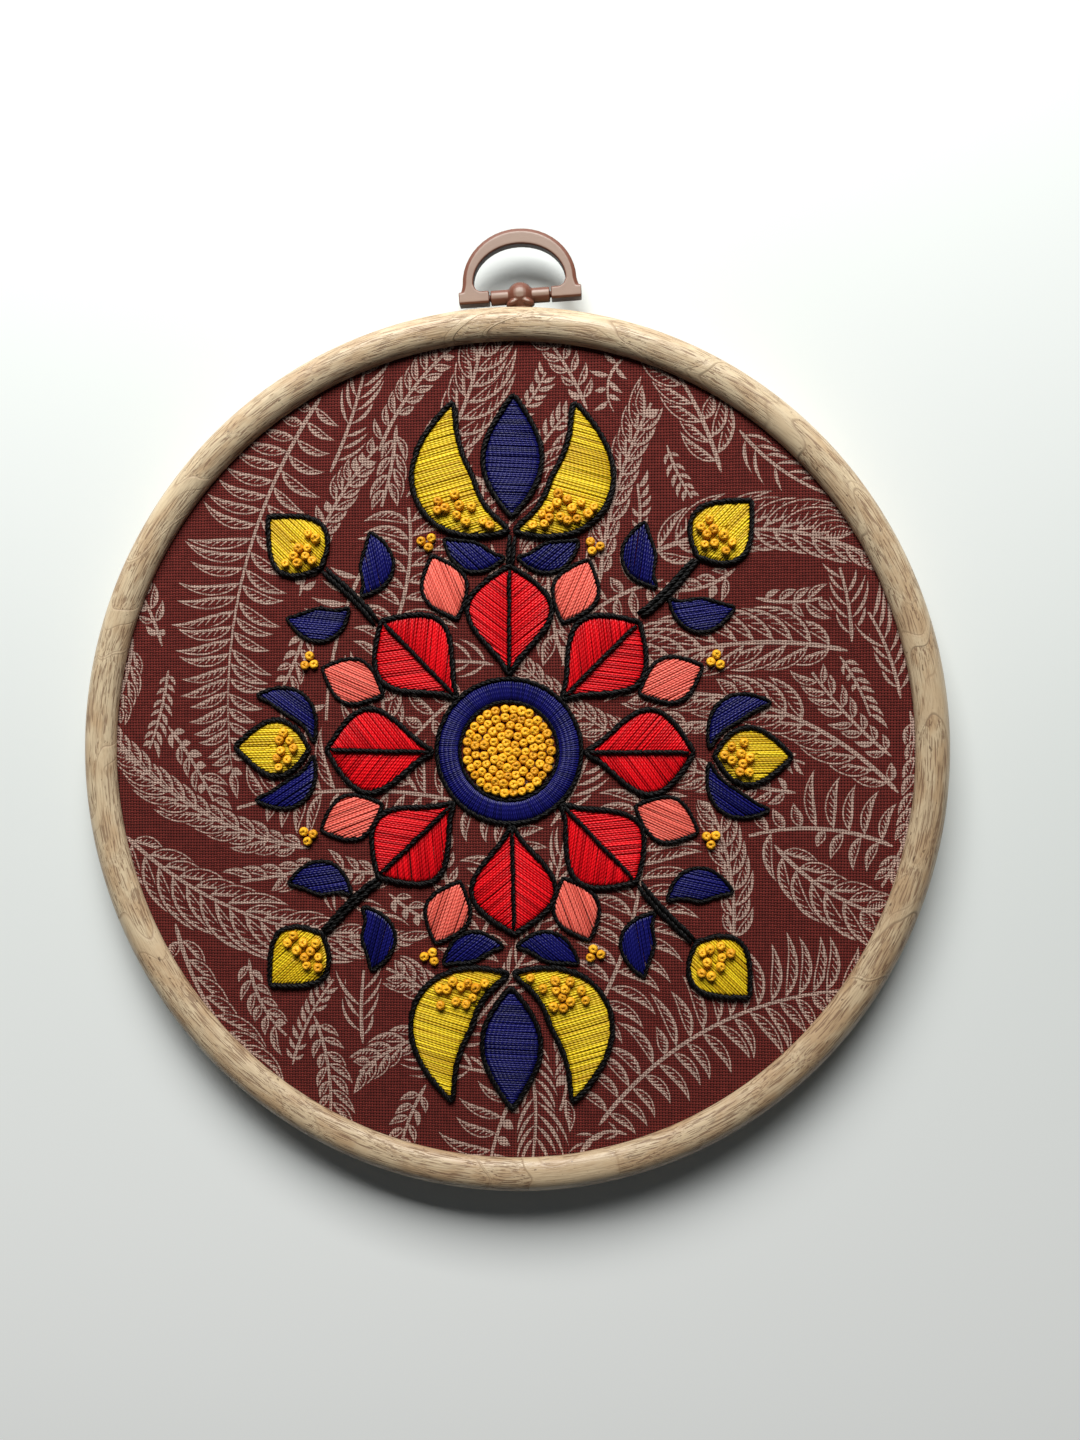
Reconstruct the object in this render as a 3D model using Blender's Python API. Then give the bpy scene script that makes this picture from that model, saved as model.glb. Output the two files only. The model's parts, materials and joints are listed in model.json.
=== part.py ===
"""An embroidery hoop lying on its back: printed cotton held between two rings, raised stitched
motifs on the cloth's face, and a small hanger whose D swings on its barrel at the top edge.
+Z points out of the cloth's face, +X to the right and +Y towards the hanger."""

import math
import random
from collections import namedtuple

import bmesh
import bpy
from mathutils import Matrix, Vector

MM = 0.001
CLEARANCE = 0.3 * MM
MERGE_DISTANCE = 0.01 * MM
SHARP_ANGLE = math.radians(40)

# Hoop: radii across X, before the whole hoop is made a little oval along Y
OUTER_RADIUS = 82.2 * MM
OPENING_RADIUS = 75.5 * MM
OVAL = 1.02
RING_DEPTH = 10.0 * MM
SHOULDER_HEIGHT = 6.4 * MM
LIP_EDGE_HEIGHT = 8.1 * MM
OUTER_WALL = 3.0 * MM
BACK_TAPER = 0.3 * MM
BACK_BEVEL = 0.6 * MM
RING_STEPS = 72
CROWN_STEPS = 5

# Cloth, and the inner ring that it is stretched over
CLOTH_THICKNESS = 1.0 * MM
CLOTH_FACE = 7.5 * MM
CLOTH_HEM_HEIGHT = 0.8 * MM
CLOTH_BEND = 0.5 * MM
INNER_WALL = 2.4 * MM
INNER_BEVEL = 0.4 * MM

# Hanger: sizes in its own frame, X along the barrel and Y away from the hoop
HANGER_TURN = math.radians(3.0)
HANGER_SHIFT = 2.0 * MM
AXIS_OUT = 2.6 * MM
AXIS_HEIGHT = 4.6 * MM
KNUCKLE_RADIUS = 2.6 * MM
KNUCKLE_STEPS = 8
BARREL_RADIUS = 1.4 * MM
BARREL_HALF = 5.6 * MM
PIN_RADIUS = 0.55 * MM
PIN_HALF = 10.2 * MM
TURNED_SIDES = 20
SHANK_WIDTH = 3.6 * MM
SHANK_THICKNESS = 2.6 * MM
SHANK_SEAT = 2.2 * MM
LIP_PLACE = (1.3 * MM, -1.55 * MM, 1.0 * MM)
LIP_RADII = (1.55 * MM, 0.75 * MM, 1.35 * MM)
LIP_TILT = math.radians(20)
LIP_SEGMENTS = 12
LIP_RINGS = 8

# Bail: the D, level with the hoop, and its two block feet
FOOT_HALF_WIDTH = 1.15 * MM
FOOT_HALF_THICKNESS = 1.45 * MM
FOOT_OUTER = 11.65 * MM
FOOT_BEVEL = 0.3 * MM
BAIL_THICKNESS = 2.2 * MM
BAIL_LIFT = FOOT_HALF_THICKNESS - BAIL_THICKNESS / 2
BAIL_SPRING = 2.5 * MM
BAIL_OUTER_HALF = 10.85 * MM
BAIL_INNER_HALF = 8.75 * MM
BAIL_OUTER_REACH = 12.55 * MM
BAIL_INNER_REACH = 9.5 * MM
BAIL_CHAMFER_WIDE = 0.8 * MM
BAIL_CHAMFER_DEEP = 0.45 * MM
BAIL_CHAMFER_SMALL = 0.2 * MM
BAIL_STEPS = 24

# Where the D widens into its feet: (outer x, outer y, inner x, inner y) in millimetres, from the foot up
BAIL_FLARE = [(11.35, 0, 6.4, 0), (11.3, 1.0, 7.3, 0.9), (11.05, 1.7, 8.3, 1.5)]

# Stitched motifs, in millimetres on an arm that points along +Y from the hoop's centre
PAD_HEIGHT = 0.7 * MM
PAD_EDGE_HEIGHT = 0.45 * MM
PAD_INSET = 0.45 * MM
PAD_SPAN_STEPS = 8
KNOT_FIELD_RADIUS = 8.6 * MM
BAND_INNER_RADIUS = 9.6 * MM
BAND_OUTER_RADIUS = 13.3 * MM
ROUND_MOTIF_STEPS = 32
HAND_TURN = math.radians(1.2)
HAND_SHIFT = 0.35 * MM
HAND_GROWTH = 0.01
SEED = 11

Motif = namedtuple("Motif", "name thread start bend end half_width peak")
Arm = namedtuple("Arm", "name turns motifs")

ARMS = [
    Arm("main", range(0, 360, 45), [
        Motif("petal", "red", (0, 14.6), (0, 24.4), (0, 34.2), 7.6, 0.60),
    ]),
    Arm("between", [turn + 22.5 for turn in range(0, 360, 45)], [
        Motif("petal_tip", "coral", (0, 26.6), (0, 32.7), (0, 38.8), 4.0, 0.50),
    ]),
    Arm("tulip", (0, 180), [
        Motif("stem", "black", (0, 35.0), (0, 38.0), (0, 41.2), 0.75, None),
        Motif("leaf_right", "navy", (1.5, 37.0), (7.0, 35.3), (12.6, 40.2), 2.5, 0.55),
        Motif("leaf_left", "navy", (-1.5, 37.0), (-7.0, 35.3), (-12.6, 40.2), 2.5, 0.55),
        Motif("side_right", "yellow", (0.9, 42.2), (19.5, 46.0), (11.6, 66.0), 5.4, 0.50),
        Motif("side_left", "yellow", (-0.9, 42.2), (-19.5, 46.0), (-11.6, 66.0), 5.4, 0.50),
        Motif("middle", "navy", (0, 45.2), (0, 56.0), (0, 67.4), 5.2, 0.48),
    ]),
    Arm("bud", (90, 270), [
        Motif("leaf_right", "navy", (1.6, 37.4), (10.4, 38.6), (10.0, 48.2), 2.2, 0.55),
        Motif("leaf_left", "navy", (-1.6, 37.4), (-10.4, 38.6), (-10.0, 48.2), 2.2, 0.55),
        Motif("drop", "yellow", (0, 38.6), (0, 45.0), (0, 52.2), 5.0, 0.45),
    ]),
    Arm("spray", (45, 135, 225, 315), [
        Motif("stem", "black", (0, 35.0), (0.9, 42.0), (0, 49.6), 0.75, None),
        Motif("leaf_right", "navy", (1.9, 41.0), (8.2, 40.4), (11.4, 48.0), 2.9, 0.55),
        Motif("leaf_left", "navy", (-1.9, 41.0), (-8.2, 40.4), (-11.4, 48.0), 2.9, 0.55),
        Motif("drop", "yellow", (0, 50.6), (0, 57.0), (0, 64.0), 5.6, 0.42),
    ]),
]

# Where the hoop's centre lies, so that the origin is at the middle of the whole part's base
HOOP_REACH = OUTER_RADIUS * OVAL
HOOP_Y = -(AXIS_OUT + BAIL_OUTER_REACH) / 2
AXIS_PLACE = Vector((HANGER_SHIFT, HOOP_Y + HOOP_REACH + AXIS_OUT, AXIS_HEIGHT))

# Name, colour in sRGB, roughness
FINISHES = {
    "outer_ring": ("D0BC99", 0.50),
    "inner_ring": ("C9B998", 0.60),
    "cloth": ("5E2124", 0.95),
    "hanger": ("8C5F50", 0.42),
    "red": ("C41324", 0.60),
    "coral": ("E8685A", 0.60),
    "navy": ("1A1860", 0.60),
    "yellow": ("E0B222", 0.60),
    "gold": ("E8A62C", 0.60),
    "black": ("161614", 0.65),
}


def clear_scene():
    for obj in list(bpy.data.objects):
        bpy.data.objects.remove(obj, do_unlink=True)


def linear(channel):
    return channel / 12.92 if channel <= 0.04045 else ((channel + 0.055) / 1.055) ** 2.4


def finish(name, kind):
    """One Principled material for the piece of this name."""
    code, roughness = FINISHES[kind]
    colour = [linear(int(code[i : i + 2], 16) / 255) for i in (0, 2, 4)]
    material = bpy.data.materials.new(name)
    material.use_nodes = True
    shader = material.node_tree.nodes["Principled BSDF"]
    shader.inputs["Base Color"].default_value = (*colour, 1)
    shader.inputs["Roughness"].default_value = roughness
    shader.inputs["Metallic"].default_value = 0
    material.diffuse_color = (*colour, 1)
    return material


def add_object(name, mesh_builder, kind, parent=None):
    """Puts the finished bmesh into a named object with its material."""
    bmesh.ops.recalc_face_normals(mesh_builder, faces=mesh_builder.faces)
    mesh = bpy.data.meshes.new(name)
    mesh_builder.to_mesh(mesh)
    mesh_builder.free()
    mesh.shade_smooth()
    mesh.set_sharp_from_angle(angle=SHARP_ANGLE)
    obj = bpy.data.objects.new(name, mesh)
    bpy.context.scene.collection.objects.link(obj)
    if kind:
        mesh.materials.append(finish(name, kind))
    if parent:
        obj.parent = parent
    return obj


def boolean(target, other, operation):
    """Cuts or joins the other shape, and keeps it in the scene as a wire guide."""
    other.hide_render = True
    other.display_type = "WIRE"
    modifier = target.modifiers.new(other.name, "BOOLEAN")
    modifier.operation = operation
    modifier.object = other
    modifier.solver = "EXACT"


def closed_wire(builder, points):
    verts = [builder.verts.new(point) for point in points]
    edges = [builder.edges.new((verts[i - 1], verts[i])) for i in range(len(verts))]
    return verts + edges


def oval_ring(name, section, kind):
    """A ring turned from a closed section of (radius, height), made oval about the hoop's centre."""
    builder = bmesh.new()
    wire = closed_wire(builder, [(radius, 0, height) for radius, height in section])
    bmesh.ops.spin(
        builder, geom=wire, cent=(0, 0, 0), axis=(0, 0, 1), angle=math.tau, steps=RING_STEPS, use_merge=True
    )
    bmesh.ops.scale(builder, vec=(1, OVAL, 1), verts=builder.verts)
    obj = add_object(name, builder, kind)
    obj.location.y = HOOP_Y
    return obj


def outer_ring_section():
    """The round front over the lip, then the wall that goes down behind the cloth's rim."""
    crown = (OUTER_RADIUS + OPENING_RADIUS) / 2
    half = OUTER_RADIUS - crown
    section = []
    for i in range(CROWN_STEPS + 1):
        angle = math.pi / 2 * i / CROWN_STEPS
        height = SHOULDER_HEIGHT + (RING_DEPTH - SHOULDER_HEIGHT) * math.sin(angle)
        section.append((crown + half * math.cos(angle), height))
    for i in range(1, CROWN_STEPS + 1):
        angle = math.pi / 2 * i / CROWN_STEPS
        height = LIP_EDGE_HEIGHT + (RING_DEPTH - LIP_EDGE_HEIGHT) * math.cos(angle)
        section.append((crown - half * math.sin(angle), height))
    lip_under = CLOTH_FACE + CLEARANCE
    wall_inside = OUTER_RADIUS - OUTER_WALL
    back_outside = OUTER_RADIUS - BACK_TAPER
    section += [
        (OPENING_RADIUS, lip_under),
        (wall_inside, lip_under),
        (wall_inside, 0),
        (back_outside - BACK_BEVEL, 0),
        (back_outside, BACK_BEVEL),
    ]
    return section


def cloth_outside():
    return OUTER_RADIUS - OUTER_WALL - CLEARANCE


def make_outer_ring(axis):
    """The ring, with a pocket for the hanger's shank and a hollow for its knuckle."""
    ring = oval_ring("outer_ring", outer_ring_section(), "outer_ring")
    pocket = bmesh.new()
    bmesh.ops.create_cube(pocket, size=1)
    depth = AXIS_OUT + SHANK_SEAT + CLEARANCE
    size = (SHANK_WIDTH + 2 * CLEARANCE, depth, SHANK_THICKNESS + 2 * CLEARANCE)
    bmesh.ops.scale(pocket, vec=size, verts=pocket.verts)
    bmesh.ops.translate(pocket, vec=(0, -depth / 2, 0), verts=pocket.verts)
    boolean(ring, add_object("shank_pocket", pocket, None, axis), "DIFFERENCE")
    hollow = turned_along_x(ball_profile(KNUCKLE_RADIUS + CLEARANCE, math.pi / 2))
    boolean(ring, add_object("knuckle_hollow", hollow, None, axis), "DIFFERENCE")


def make_inner_ring():
    outside = cloth_outside() - CLOTH_THICKNESS - CLEARANCE
    inside = outside - INNER_WALL
    top = CLOTH_FACE - CLOTH_THICKNESS - CLEARANCE
    section = [
        (outside, 0),
        (outside, top - INNER_BEVEL),
        (outside - INNER_BEVEL, top),
        (inside + INNER_BEVEL, top),
        (inside, top - INNER_BEVEL),
        (inside, 0),
    ]
    oval_ring("inner_ring", section, "inner_ring")


def make_cloth():
    """A flat face whose rim turns down between the two rings."""
    outside = cloth_outside()
    inside = outside - CLOTH_THICKNESS
    back = CLOTH_FACE - CLOTH_THICKNESS
    builder = bmesh.new()
    profile = [
        (0, CLOTH_FACE),
        (outside - CLOTH_BEND, CLOTH_FACE),
        (outside, CLOTH_FACE - CLOTH_BEND),
        (outside, CLOTH_HEM_HEIGHT),
        (inside, CLOTH_HEM_HEIGHT),
        (inside, back),
        (0, back),
    ]
    verts = [builder.verts.new((radius, 0, height)) for radius, height in profile]
    edges = [builder.edges.new(pair) for pair in zip(verts, verts[1:])]
    bmesh.ops.spin(
        builder, geom=verts + edges, cent=(0, 0, 0), axis=(0, 0, 1), angle=math.tau, steps=RING_STEPS,
        use_merge=True,
    )
    bmesh.ops.remove_doubles(builder, verts=builder.verts, dist=MERGE_DISTANCE)
    bmesh.ops.scale(builder, vec=(1, OVAL, 1), verts=builder.verts)
    add_object("cloth", builder, "cloth").location.y = HOOP_Y


def turned_along_x(profile):
    """A bmesh turned about the X axis from (x, radius) points that start and end on the axis."""
    builder = bmesh.new()
    verts = [builder.verts.new((x, radius, 0)) for x, radius in profile]
    edges = [builder.edges.new(pair) for pair in zip(verts, verts[1:])]
    bmesh.ops.spin(
        builder, geom=verts + edges, cent=(0, 0, 0), axis=(1, 0, 0), angle=math.tau, steps=TURNED_SIDES,
        use_merge=True,
    )
    bmesh.ops.remove_doubles(builder, verts=builder.verts, dist=MERGE_DISTANCE)
    return builder


def ball_profile(radius, half_angle):
    """Points of an arc about the X axis, from one side of its middle to the other."""
    angles = [half_angle * (2 * i / KNUCKLE_STEPS - 1) for i in range(KNUCKLE_STEPS + 1)]
    return [(radius * math.sin(angle), radius * max(math.cos(angle), 0)) for angle in angles]


def make_hanger_base(axis):
    """Pins, barrel and ball knuckle turned in one, with two moulded lips and the shank behind them."""
    profile = [
        (-PIN_HALF, 0),
        (-PIN_HALF, PIN_RADIUS),
        (-BARREL_HALF, PIN_RADIUS),
        (-BARREL_HALF, BARREL_RADIUS),
        *ball_profile(KNUCKLE_RADIUS, math.acos(BARREL_RADIUS / KNUCKLE_RADIUS)),
        (BARREL_HALF, BARREL_RADIUS),
        (BARREL_HALF, PIN_RADIUS),
        (PIN_HALF, PIN_RADIUS),
        (PIN_HALF, 0),
    ]
    base = add_object("hanger_base", turned_along_x(profile), "hanger", axis)

    shank = bmesh.new()
    bmesh.ops.create_cube(shank, size=1)
    reach = AXIS_OUT + SHANK_SEAT
    bmesh.ops.scale(shank, vec=(SHANK_WIDTH, reach, SHANK_THICKNESS), verts=shank.verts)
    bmesh.ops.translate(shank, vec=(0, -reach / 2, 0), verts=shank.verts)
    boolean(base, add_object("shank", shank, None, axis), "UNION")

    out, along, up = LIP_PLACE
    for side, name in ((-1, "lip_left"), (1, "lip_right")):
        lip = bmesh.new()
        bmesh.ops.create_uvsphere(lip, u_segments=LIP_SEGMENTS, v_segments=LIP_RINGS, radius=1)
        bmesh.ops.scale(lip, vec=LIP_RADII, verts=lip.verts)
        tilt = Matrix.Rotation(-side * LIP_TILT, 3, "Z")
        bmesh.ops.rotate(lip, cent=(0, 0, 0), matrix=tilt, verts=lip.verts)
        bmesh.ops.translate(lip, vec=(side * out, along, up), verts=lip.verts)
        boolean(base, add_object(name, lip, None, axis), "UNION")


def bail_rows():
    """Outer and inner points of the D, from one foot over the arch to the other."""
    arch = []
    for i in range(BAIL_STEPS + 1):
        angle = math.pi * i / BAIL_STEPS
        rise = math.sin(angle)
        outer = (BAIL_OUTER_HALF * math.cos(angle), BAIL_SPRING + (BAIL_OUTER_REACH - BAIL_SPRING) * rise)
        inner = (BAIL_INNER_HALF * math.cos(angle), BAIL_SPRING + (BAIL_INNER_REACH - BAIL_SPRING) * rise)
        arch.append((outer, inner))
    right = []
    left = []
    for outer_x, outer_y, inner_x, inner_y in BAIL_FLARE:
        right.append(((outer_x * MM, outer_y * MM), (inner_x * MM, inner_y * MM)))
        left.append(((-outer_x * MM, outer_y * MM), (-inner_x * MM, inner_y * MM)))
    return right + arch + left[::-1]


def bail_sections():
    """Closed sections across the D, bevelled at the front and back."""
    half = BAIL_THICKNESS / 2
    sections = []
    for outer, inner in bail_rows():
        outer = Vector((*outer, BAIL_LIFT))
        inner = Vector((*inner, BAIL_LIFT))
        across = (inner - outer).normalized()
        section = []
        for side in (1, -1):
            corner = [
                outer + Vector((0, 0, side * (half - BAIL_CHAMFER_DEEP))),
                outer + across * BAIL_CHAMFER_WIDE + Vector((0, 0, side * half)),
                inner - across * BAIL_CHAMFER_SMALL + Vector((0, 0, side * half)),
                inner + Vector((0, 0, side * (half - BAIL_CHAMFER_SMALL))),
            ]
            section += corner if side == 1 else corner[::-1]
        sections.append(section)
    return sections


def foot_block(side):
    """A block along the axis with its long edges bevelled."""
    across = (FOOT_HALF_WIDTH, FOOT_HALF_WIDTH - FOOT_BEVEL)
    thick = (FOOT_HALF_THICKNESS - FOOT_BEVEL, FOOT_HALF_THICKNESS)
    corner = list(zip(across, thick))
    section = corner + [(-y, z) for y, z in corner[::-1]]
    section += [(-y, -z) for y, z in corner] + [(y, -z) for y, z in corner[::-1]]
    builder = bmesh.new()
    ends = []
    for x in (BARREL_HALF + CLEARANCE, FOOT_OUTER):
        ends.append([builder.verts.new((side * x, y, z)) for y, z in section])
    for i in range(len(section)):
        builder.faces.new((ends[0][i - 1], ends[0][i], ends[1][i], ends[1][i - 1]))
    builder.faces.new(ends[0])
    builder.faces.new(ends[1])
    return builder


def make_bail(axis):
    builder = bmesh.new()
    loops = [[builder.verts.new(point) for point in section] for section in bail_sections()]
    for near, far in zip(loops, loops[1:]):
        for i in range(len(near)):
            builder.faces.new((near[i - 1], near[i], far[i], far[i - 1]))
    builder.faces.new(loops[0])
    builder.faces.new(loops[-1])
    bail = add_object("hanger_bail", builder, "hanger", axis)

    bore = PIN_RADIUS + CLEARANCE
    bore_end = PIN_HALF + CLEARANCE
    for side, name in ((-1, "foot_left"), (1, "foot_right")):
        boolean(bail, add_object(name, foot_block(side), None, axis), "UNION")
        bore_cutter = turned_along_x([(0, 0), (0, bore), (side * bore_end, bore), (side * bore_end, 0)])
        boolean(bail, add_object(f"{name}_bore", bore_cutter, None, axis), "DIFFERENCE")


def motif_outline(motif, grow):
    """The outline of a leaf or stem along a bent middle line, as points in metres."""
    start, bend, end = (Vector(point) * grow for point in (motif.start, motif.bend, motif.end))
    left = []
    right = []
    for i in range(PAD_SPAN_STEPS + 1):
        along = i / PAD_SPAN_STEPS
        middle = (1 - along) ** 2 * start + 2 * along * (1 - along) * bend + along**2 * end
        heading = (2 * (1 - along) * (bend - start) + 2 * along * (end - bend)).normalized()
        if motif.peak is None:
            half = motif.half_width
        else:
            half = motif.half_width * math.sin(math.pi * along ** (math.log(0.5) / math.log(motif.peak)))
        side = Vector((-heading.y, heading.x)) * max(half, 0)
        left.append(middle + side)
        right.append(middle - side)
    if motif.peak is not None:
        right = right[1:-1]
    return [point * MM for point in left + right[::-1]]


def make_pad(name, loops, kind):
    """A low padded solid on the cloth: each outline stands up, and its top is drawn in."""
    builder = bmesh.new()
    faces = []
    if len(loops) == 1:
        faces.append(builder.faces.new([builder.verts.new((x, y, 0)) for x, y in loops[0]]))
    else:
        rings = [[builder.verts.new((x, y, 0)) for x, y in loop] for loop in loops]
        outer, inner = rings
        for i in range(len(outer)):
            faces.append(builder.faces.new((outer[i - 1], outer[i], inner[i], inner[i - 1])))
    bmesh.ops.recalc_face_normals(builder, faces=faces)
    if faces[0].normal.z < 0:
        bmesh.ops.reverse_faces(builder, faces=faces)
    raised = bmesh.ops.extrude_face_region(builder, geom=faces, use_keep_orig=True)["geom"]
    top = [item for item in raised if isinstance(item, bmesh.types.BMFace)]
    top_verts = [item for item in raised if isinstance(item, bmesh.types.BMVert)]
    bmesh.ops.translate(builder, vec=(0, 0, PAD_EDGE_HEIGHT), verts=top_verts)
    bmesh.ops.inset_region(
        builder, faces=top, thickness=PAD_INSET, depth=PAD_HEIGHT - PAD_EDGE_HEIGHT, use_boundary=True,
        use_even_offset=True,
    )
    pad = add_object(name, builder, kind)
    pad.location = (0, HOOP_Y, CLOTH_FACE + CLEARANCE)


def make_motifs():
    """Every stitched field, each arm a touch off its true place as hand work is."""
    hand = random.Random(SEED)
    for arm in ARMS:
        for number, turn in enumerate(arm.turns, 1):
            angle = -math.radians(turn) + hand.uniform(-HAND_TURN, HAND_TURN)
            shift = Vector([hand.uniform(-HAND_SHIFT, HAND_SHIFT) for _ in range(2)])
            grow = 1 + hand.uniform(-HAND_GROWTH, HAND_GROWTH)
            spin = Matrix.Rotation(angle, 2)
            for motif in arm.motifs:
                outline = [spin @ point + shift for point in motif_outline(motif, grow)]
                make_pad(f"{arm.name}_{number}_{motif.name}", [outline], motif.thread)


def circle(radius):
    angles = [math.tau * i / ROUND_MOTIF_STEPS for i in range(ROUND_MOTIF_STEPS)]
    return [Vector((radius * math.cos(angle), radius * math.sin(angle))) for angle in angles]


def make_centre():
    make_pad("centre_knots", [circle(KNOT_FIELD_RADIUS)], "gold")
    make_pad("centre_band", [circle(BAND_OUTER_RADIUS), circle(BAND_INNER_RADIUS)], "navy")


def main():
    clear_scene()
    axis = bpy.data.objects.new("hanger_axis", None)
    bpy.context.scene.collection.objects.link(axis)
    axis.location = AXIS_PLACE
    axis.rotation_euler.z = HANGER_TURN
    axis.empty_display_size = 5 * MM
    make_outer_ring(axis)
    make_inner_ring()
    make_cloth()
    make_hanger_base(axis)
    make_bail(axis)
    make_centre()
    make_motifs()


main()
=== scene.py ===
"""Looks of an embroidery hoop: wood-look vinyl ring, printed cotton, satin-stitched folk medallion and hanger."""

import json
import math
import random
from collections import namedtuple

import bpy
import numpy as np
from bpy.props import FloatProperty, FloatVectorProperty, IntProperty, PointerProperty
from mathutils import Matrix, Vector
from mathutils.geometry import delaunay_2d_cdt


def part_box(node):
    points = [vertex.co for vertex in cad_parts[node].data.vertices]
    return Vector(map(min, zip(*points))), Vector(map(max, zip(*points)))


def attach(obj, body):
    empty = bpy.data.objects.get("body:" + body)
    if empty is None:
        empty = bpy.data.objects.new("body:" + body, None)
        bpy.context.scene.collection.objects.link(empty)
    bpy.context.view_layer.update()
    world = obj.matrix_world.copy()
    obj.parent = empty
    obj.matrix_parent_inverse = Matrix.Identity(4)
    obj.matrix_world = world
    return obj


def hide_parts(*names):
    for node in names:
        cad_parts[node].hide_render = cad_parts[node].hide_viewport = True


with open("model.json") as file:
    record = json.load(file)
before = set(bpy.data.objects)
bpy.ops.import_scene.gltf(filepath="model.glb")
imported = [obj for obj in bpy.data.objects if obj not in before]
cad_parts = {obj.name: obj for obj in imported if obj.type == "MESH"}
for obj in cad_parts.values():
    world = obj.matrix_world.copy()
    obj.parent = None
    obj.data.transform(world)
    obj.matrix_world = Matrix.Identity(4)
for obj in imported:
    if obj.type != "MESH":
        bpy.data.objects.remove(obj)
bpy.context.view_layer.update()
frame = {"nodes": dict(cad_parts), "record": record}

bl_info = {
    "name": "Hoop embroidery",
    "version": (1, 0, 0),
    "blender": (4, 5, 0),
    "location": "View3D > Sidebar > Embroidery",
    "description": "Dresses a packed embroidery hoop in vinyl, printed cotton and stranded thread",
    "category": "Object",
}

MM = 0.001
HOOP = "hoop"
HANGER = "hanger"

# The hoop's place and proportions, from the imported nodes
RING_LOW, RING_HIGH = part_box("outer_ring")
CLOTH_LOW, CLOTH_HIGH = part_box("cloth")
INNER_LOW, INNER_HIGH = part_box("inner_ring")
CENTRE = np.array([(RING_LOW.x + RING_HIGH.x) / 2, (RING_LOW.y + RING_HIGH.y) / 2])
OUTER_RADIUS = (RING_HIGH.x - RING_LOW.x) / 2
OVAL = (RING_HIGH.y - RING_LOW.y) / (RING_HIGH.x - RING_LOW.x)
CLOTH_RADIUS = (CLOTH_HIGH.x - CLOTH_LOW.x) / 2
CLOTH_FACE = CLOTH_HIGH.z
BAND_WIDTH = 6.7 * MM
OPENING_RADIUS = OUTER_RADIUS - BAND_WIDTH
SLOT_OF = {row["node"]: row["material_slot"] for row in frame["record"]["subparts"]}


def srgb(code):
    """An sRGB hex value as linear RGBA."""
    parts = [int(code[i : i + 2], 16) / 255 for i in (0, 2, 4)]
    return (*(c / 12.92 if c <= 0.04045 else ((c + 0.055) / 1.055) ** 2.4 for c in parts), 1.0)


def colour(code, name, description):
    return FloatVectorProperty(
        name=name, description=description, default=srgb(code), size=4, min=0, max=1, subtype="COLOR"
    )


def length(size, name, description):
    return FloatProperty(name=name, description=description, default=size * MM, unit="LENGTH", precision=5)


class VinylSettings(bpy.types.PropertyGroup):
    """Colours and grain of the wood-look rings."""

    cream: colour("D9C5A3", "Cream", "Pale smooth tongues of the printed grain")
    tan: colour("C3A580", "Tan", "Streaks that run along the ring")
    brown: colour("7C5C43", "Brown", "Thin lines and dashes of the grain")
    grain_width: length(0.22, "Grain width", "Distance between two dashes across the ring")
    grain_swirl: FloatProperty(name="Grain swirl", description="Bend of the dashes about a tongue", default=9.0)
    tongues: IntProperty(name="Tongues", description="Grain figures in the ring's full turn", default=30)
    tongue_bend: FloatProperty(name="Tongue bend", description="How far a figure's sides lag its middle", default=1.1)


class CottonSettings(bpy.types.PropertyGroup):
    """Weave and print of the cotton."""

    ground: colour("6E2A25", "Ground", "Dyed ground of the cotton")
    gap: colour("1C0604", "Gap", "Shade between the threads")
    ink: colour("C0A294", "Ink", "Printed fronds")
    back: colour("5A2A2C", "Back", "Unprinted back of the cotton")
    weave_pitch: length(0.56, "Weave pitch", "Thread spacing: 0.38 mm really, drawn coarser so that it shows")
    frond_seed: IntProperty(name="Frond seed", description="Layout of the printed fronds", default=7)
    fronds: IntProperty(name="Fronds", description="Tries at placing a printed frond", default=4600)


class ThreadSettings(bpy.types.PropertyGroup):
    """Stranded cotton thread."""

    red: colour("F4101D", "Red", "Large petals")
    coral: colour("FF7A69", "Coral", "Petal tips")
    navy: colour("161665", "Navy", "Leaves and band")
    yellow: colour("F5D626", "Yellow", "Tulips and buds")
    gold: colour("FFBE2A", "Gold", "Knots")
    black: colour("070606", "Black", "Outlines and stems")
    pitch: length(0.43, "Stitch spacing", "Distance between two satin stitches")
    radius: length(0.24, "Thread radius", "Radius of one satin thread")
    loft: length(0.50, "Loft", "Height of a padded field above the cloth")
    knot_radius: length(0.98, "Knot radius", "Radius of one French knot")
    seed: IntProperty(name="Hand seed", description="Unevenness of the hand stitches", default=3)


class HangerSettings(bpy.types.PropertyGroup):
    """Moulded plastic of the hanger."""

    brown: colour("A89080", "Brown", "Moulded plastic")
    voxel: length(0.14, "Detail", "Finest detail kept on the mouldings")


class StageSettings(bpy.types.PropertyGroup):
    """Floor, light and camera."""

    floor: colour("E9EEEC", "Floor", "Pale surface under the hoop")
    focal_px: FloatProperty(name="Focal length", description="In pixels of a 1080 by 1440 image", default=1130)


GROUPS = {
    "hoop_vinyl": VinylSettings,
    "hoop_cotton": CottonSettings,
    "hoop_thread": ThreadSettings,
    "hoop_hanger": HangerSettings,
    "hoop_stage": StageSettings,
}


def add_node(tree, kind, inputs=None, **settings):
    """Adds one shader node with its settings; an input is a value or another node's output."""
    made = tree.nodes.new(f"ShaderNode{kind}")
    for key, value in settings.items():
        setattr(made, key, value)
    for key, value in (inputs or {}).items():
        if isinstance(value, bpy.types.NodeSocket):
            tree.links.new(value, made.inputs[key])
        else:
            made.inputs[key].default_value = value
    return made


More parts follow.
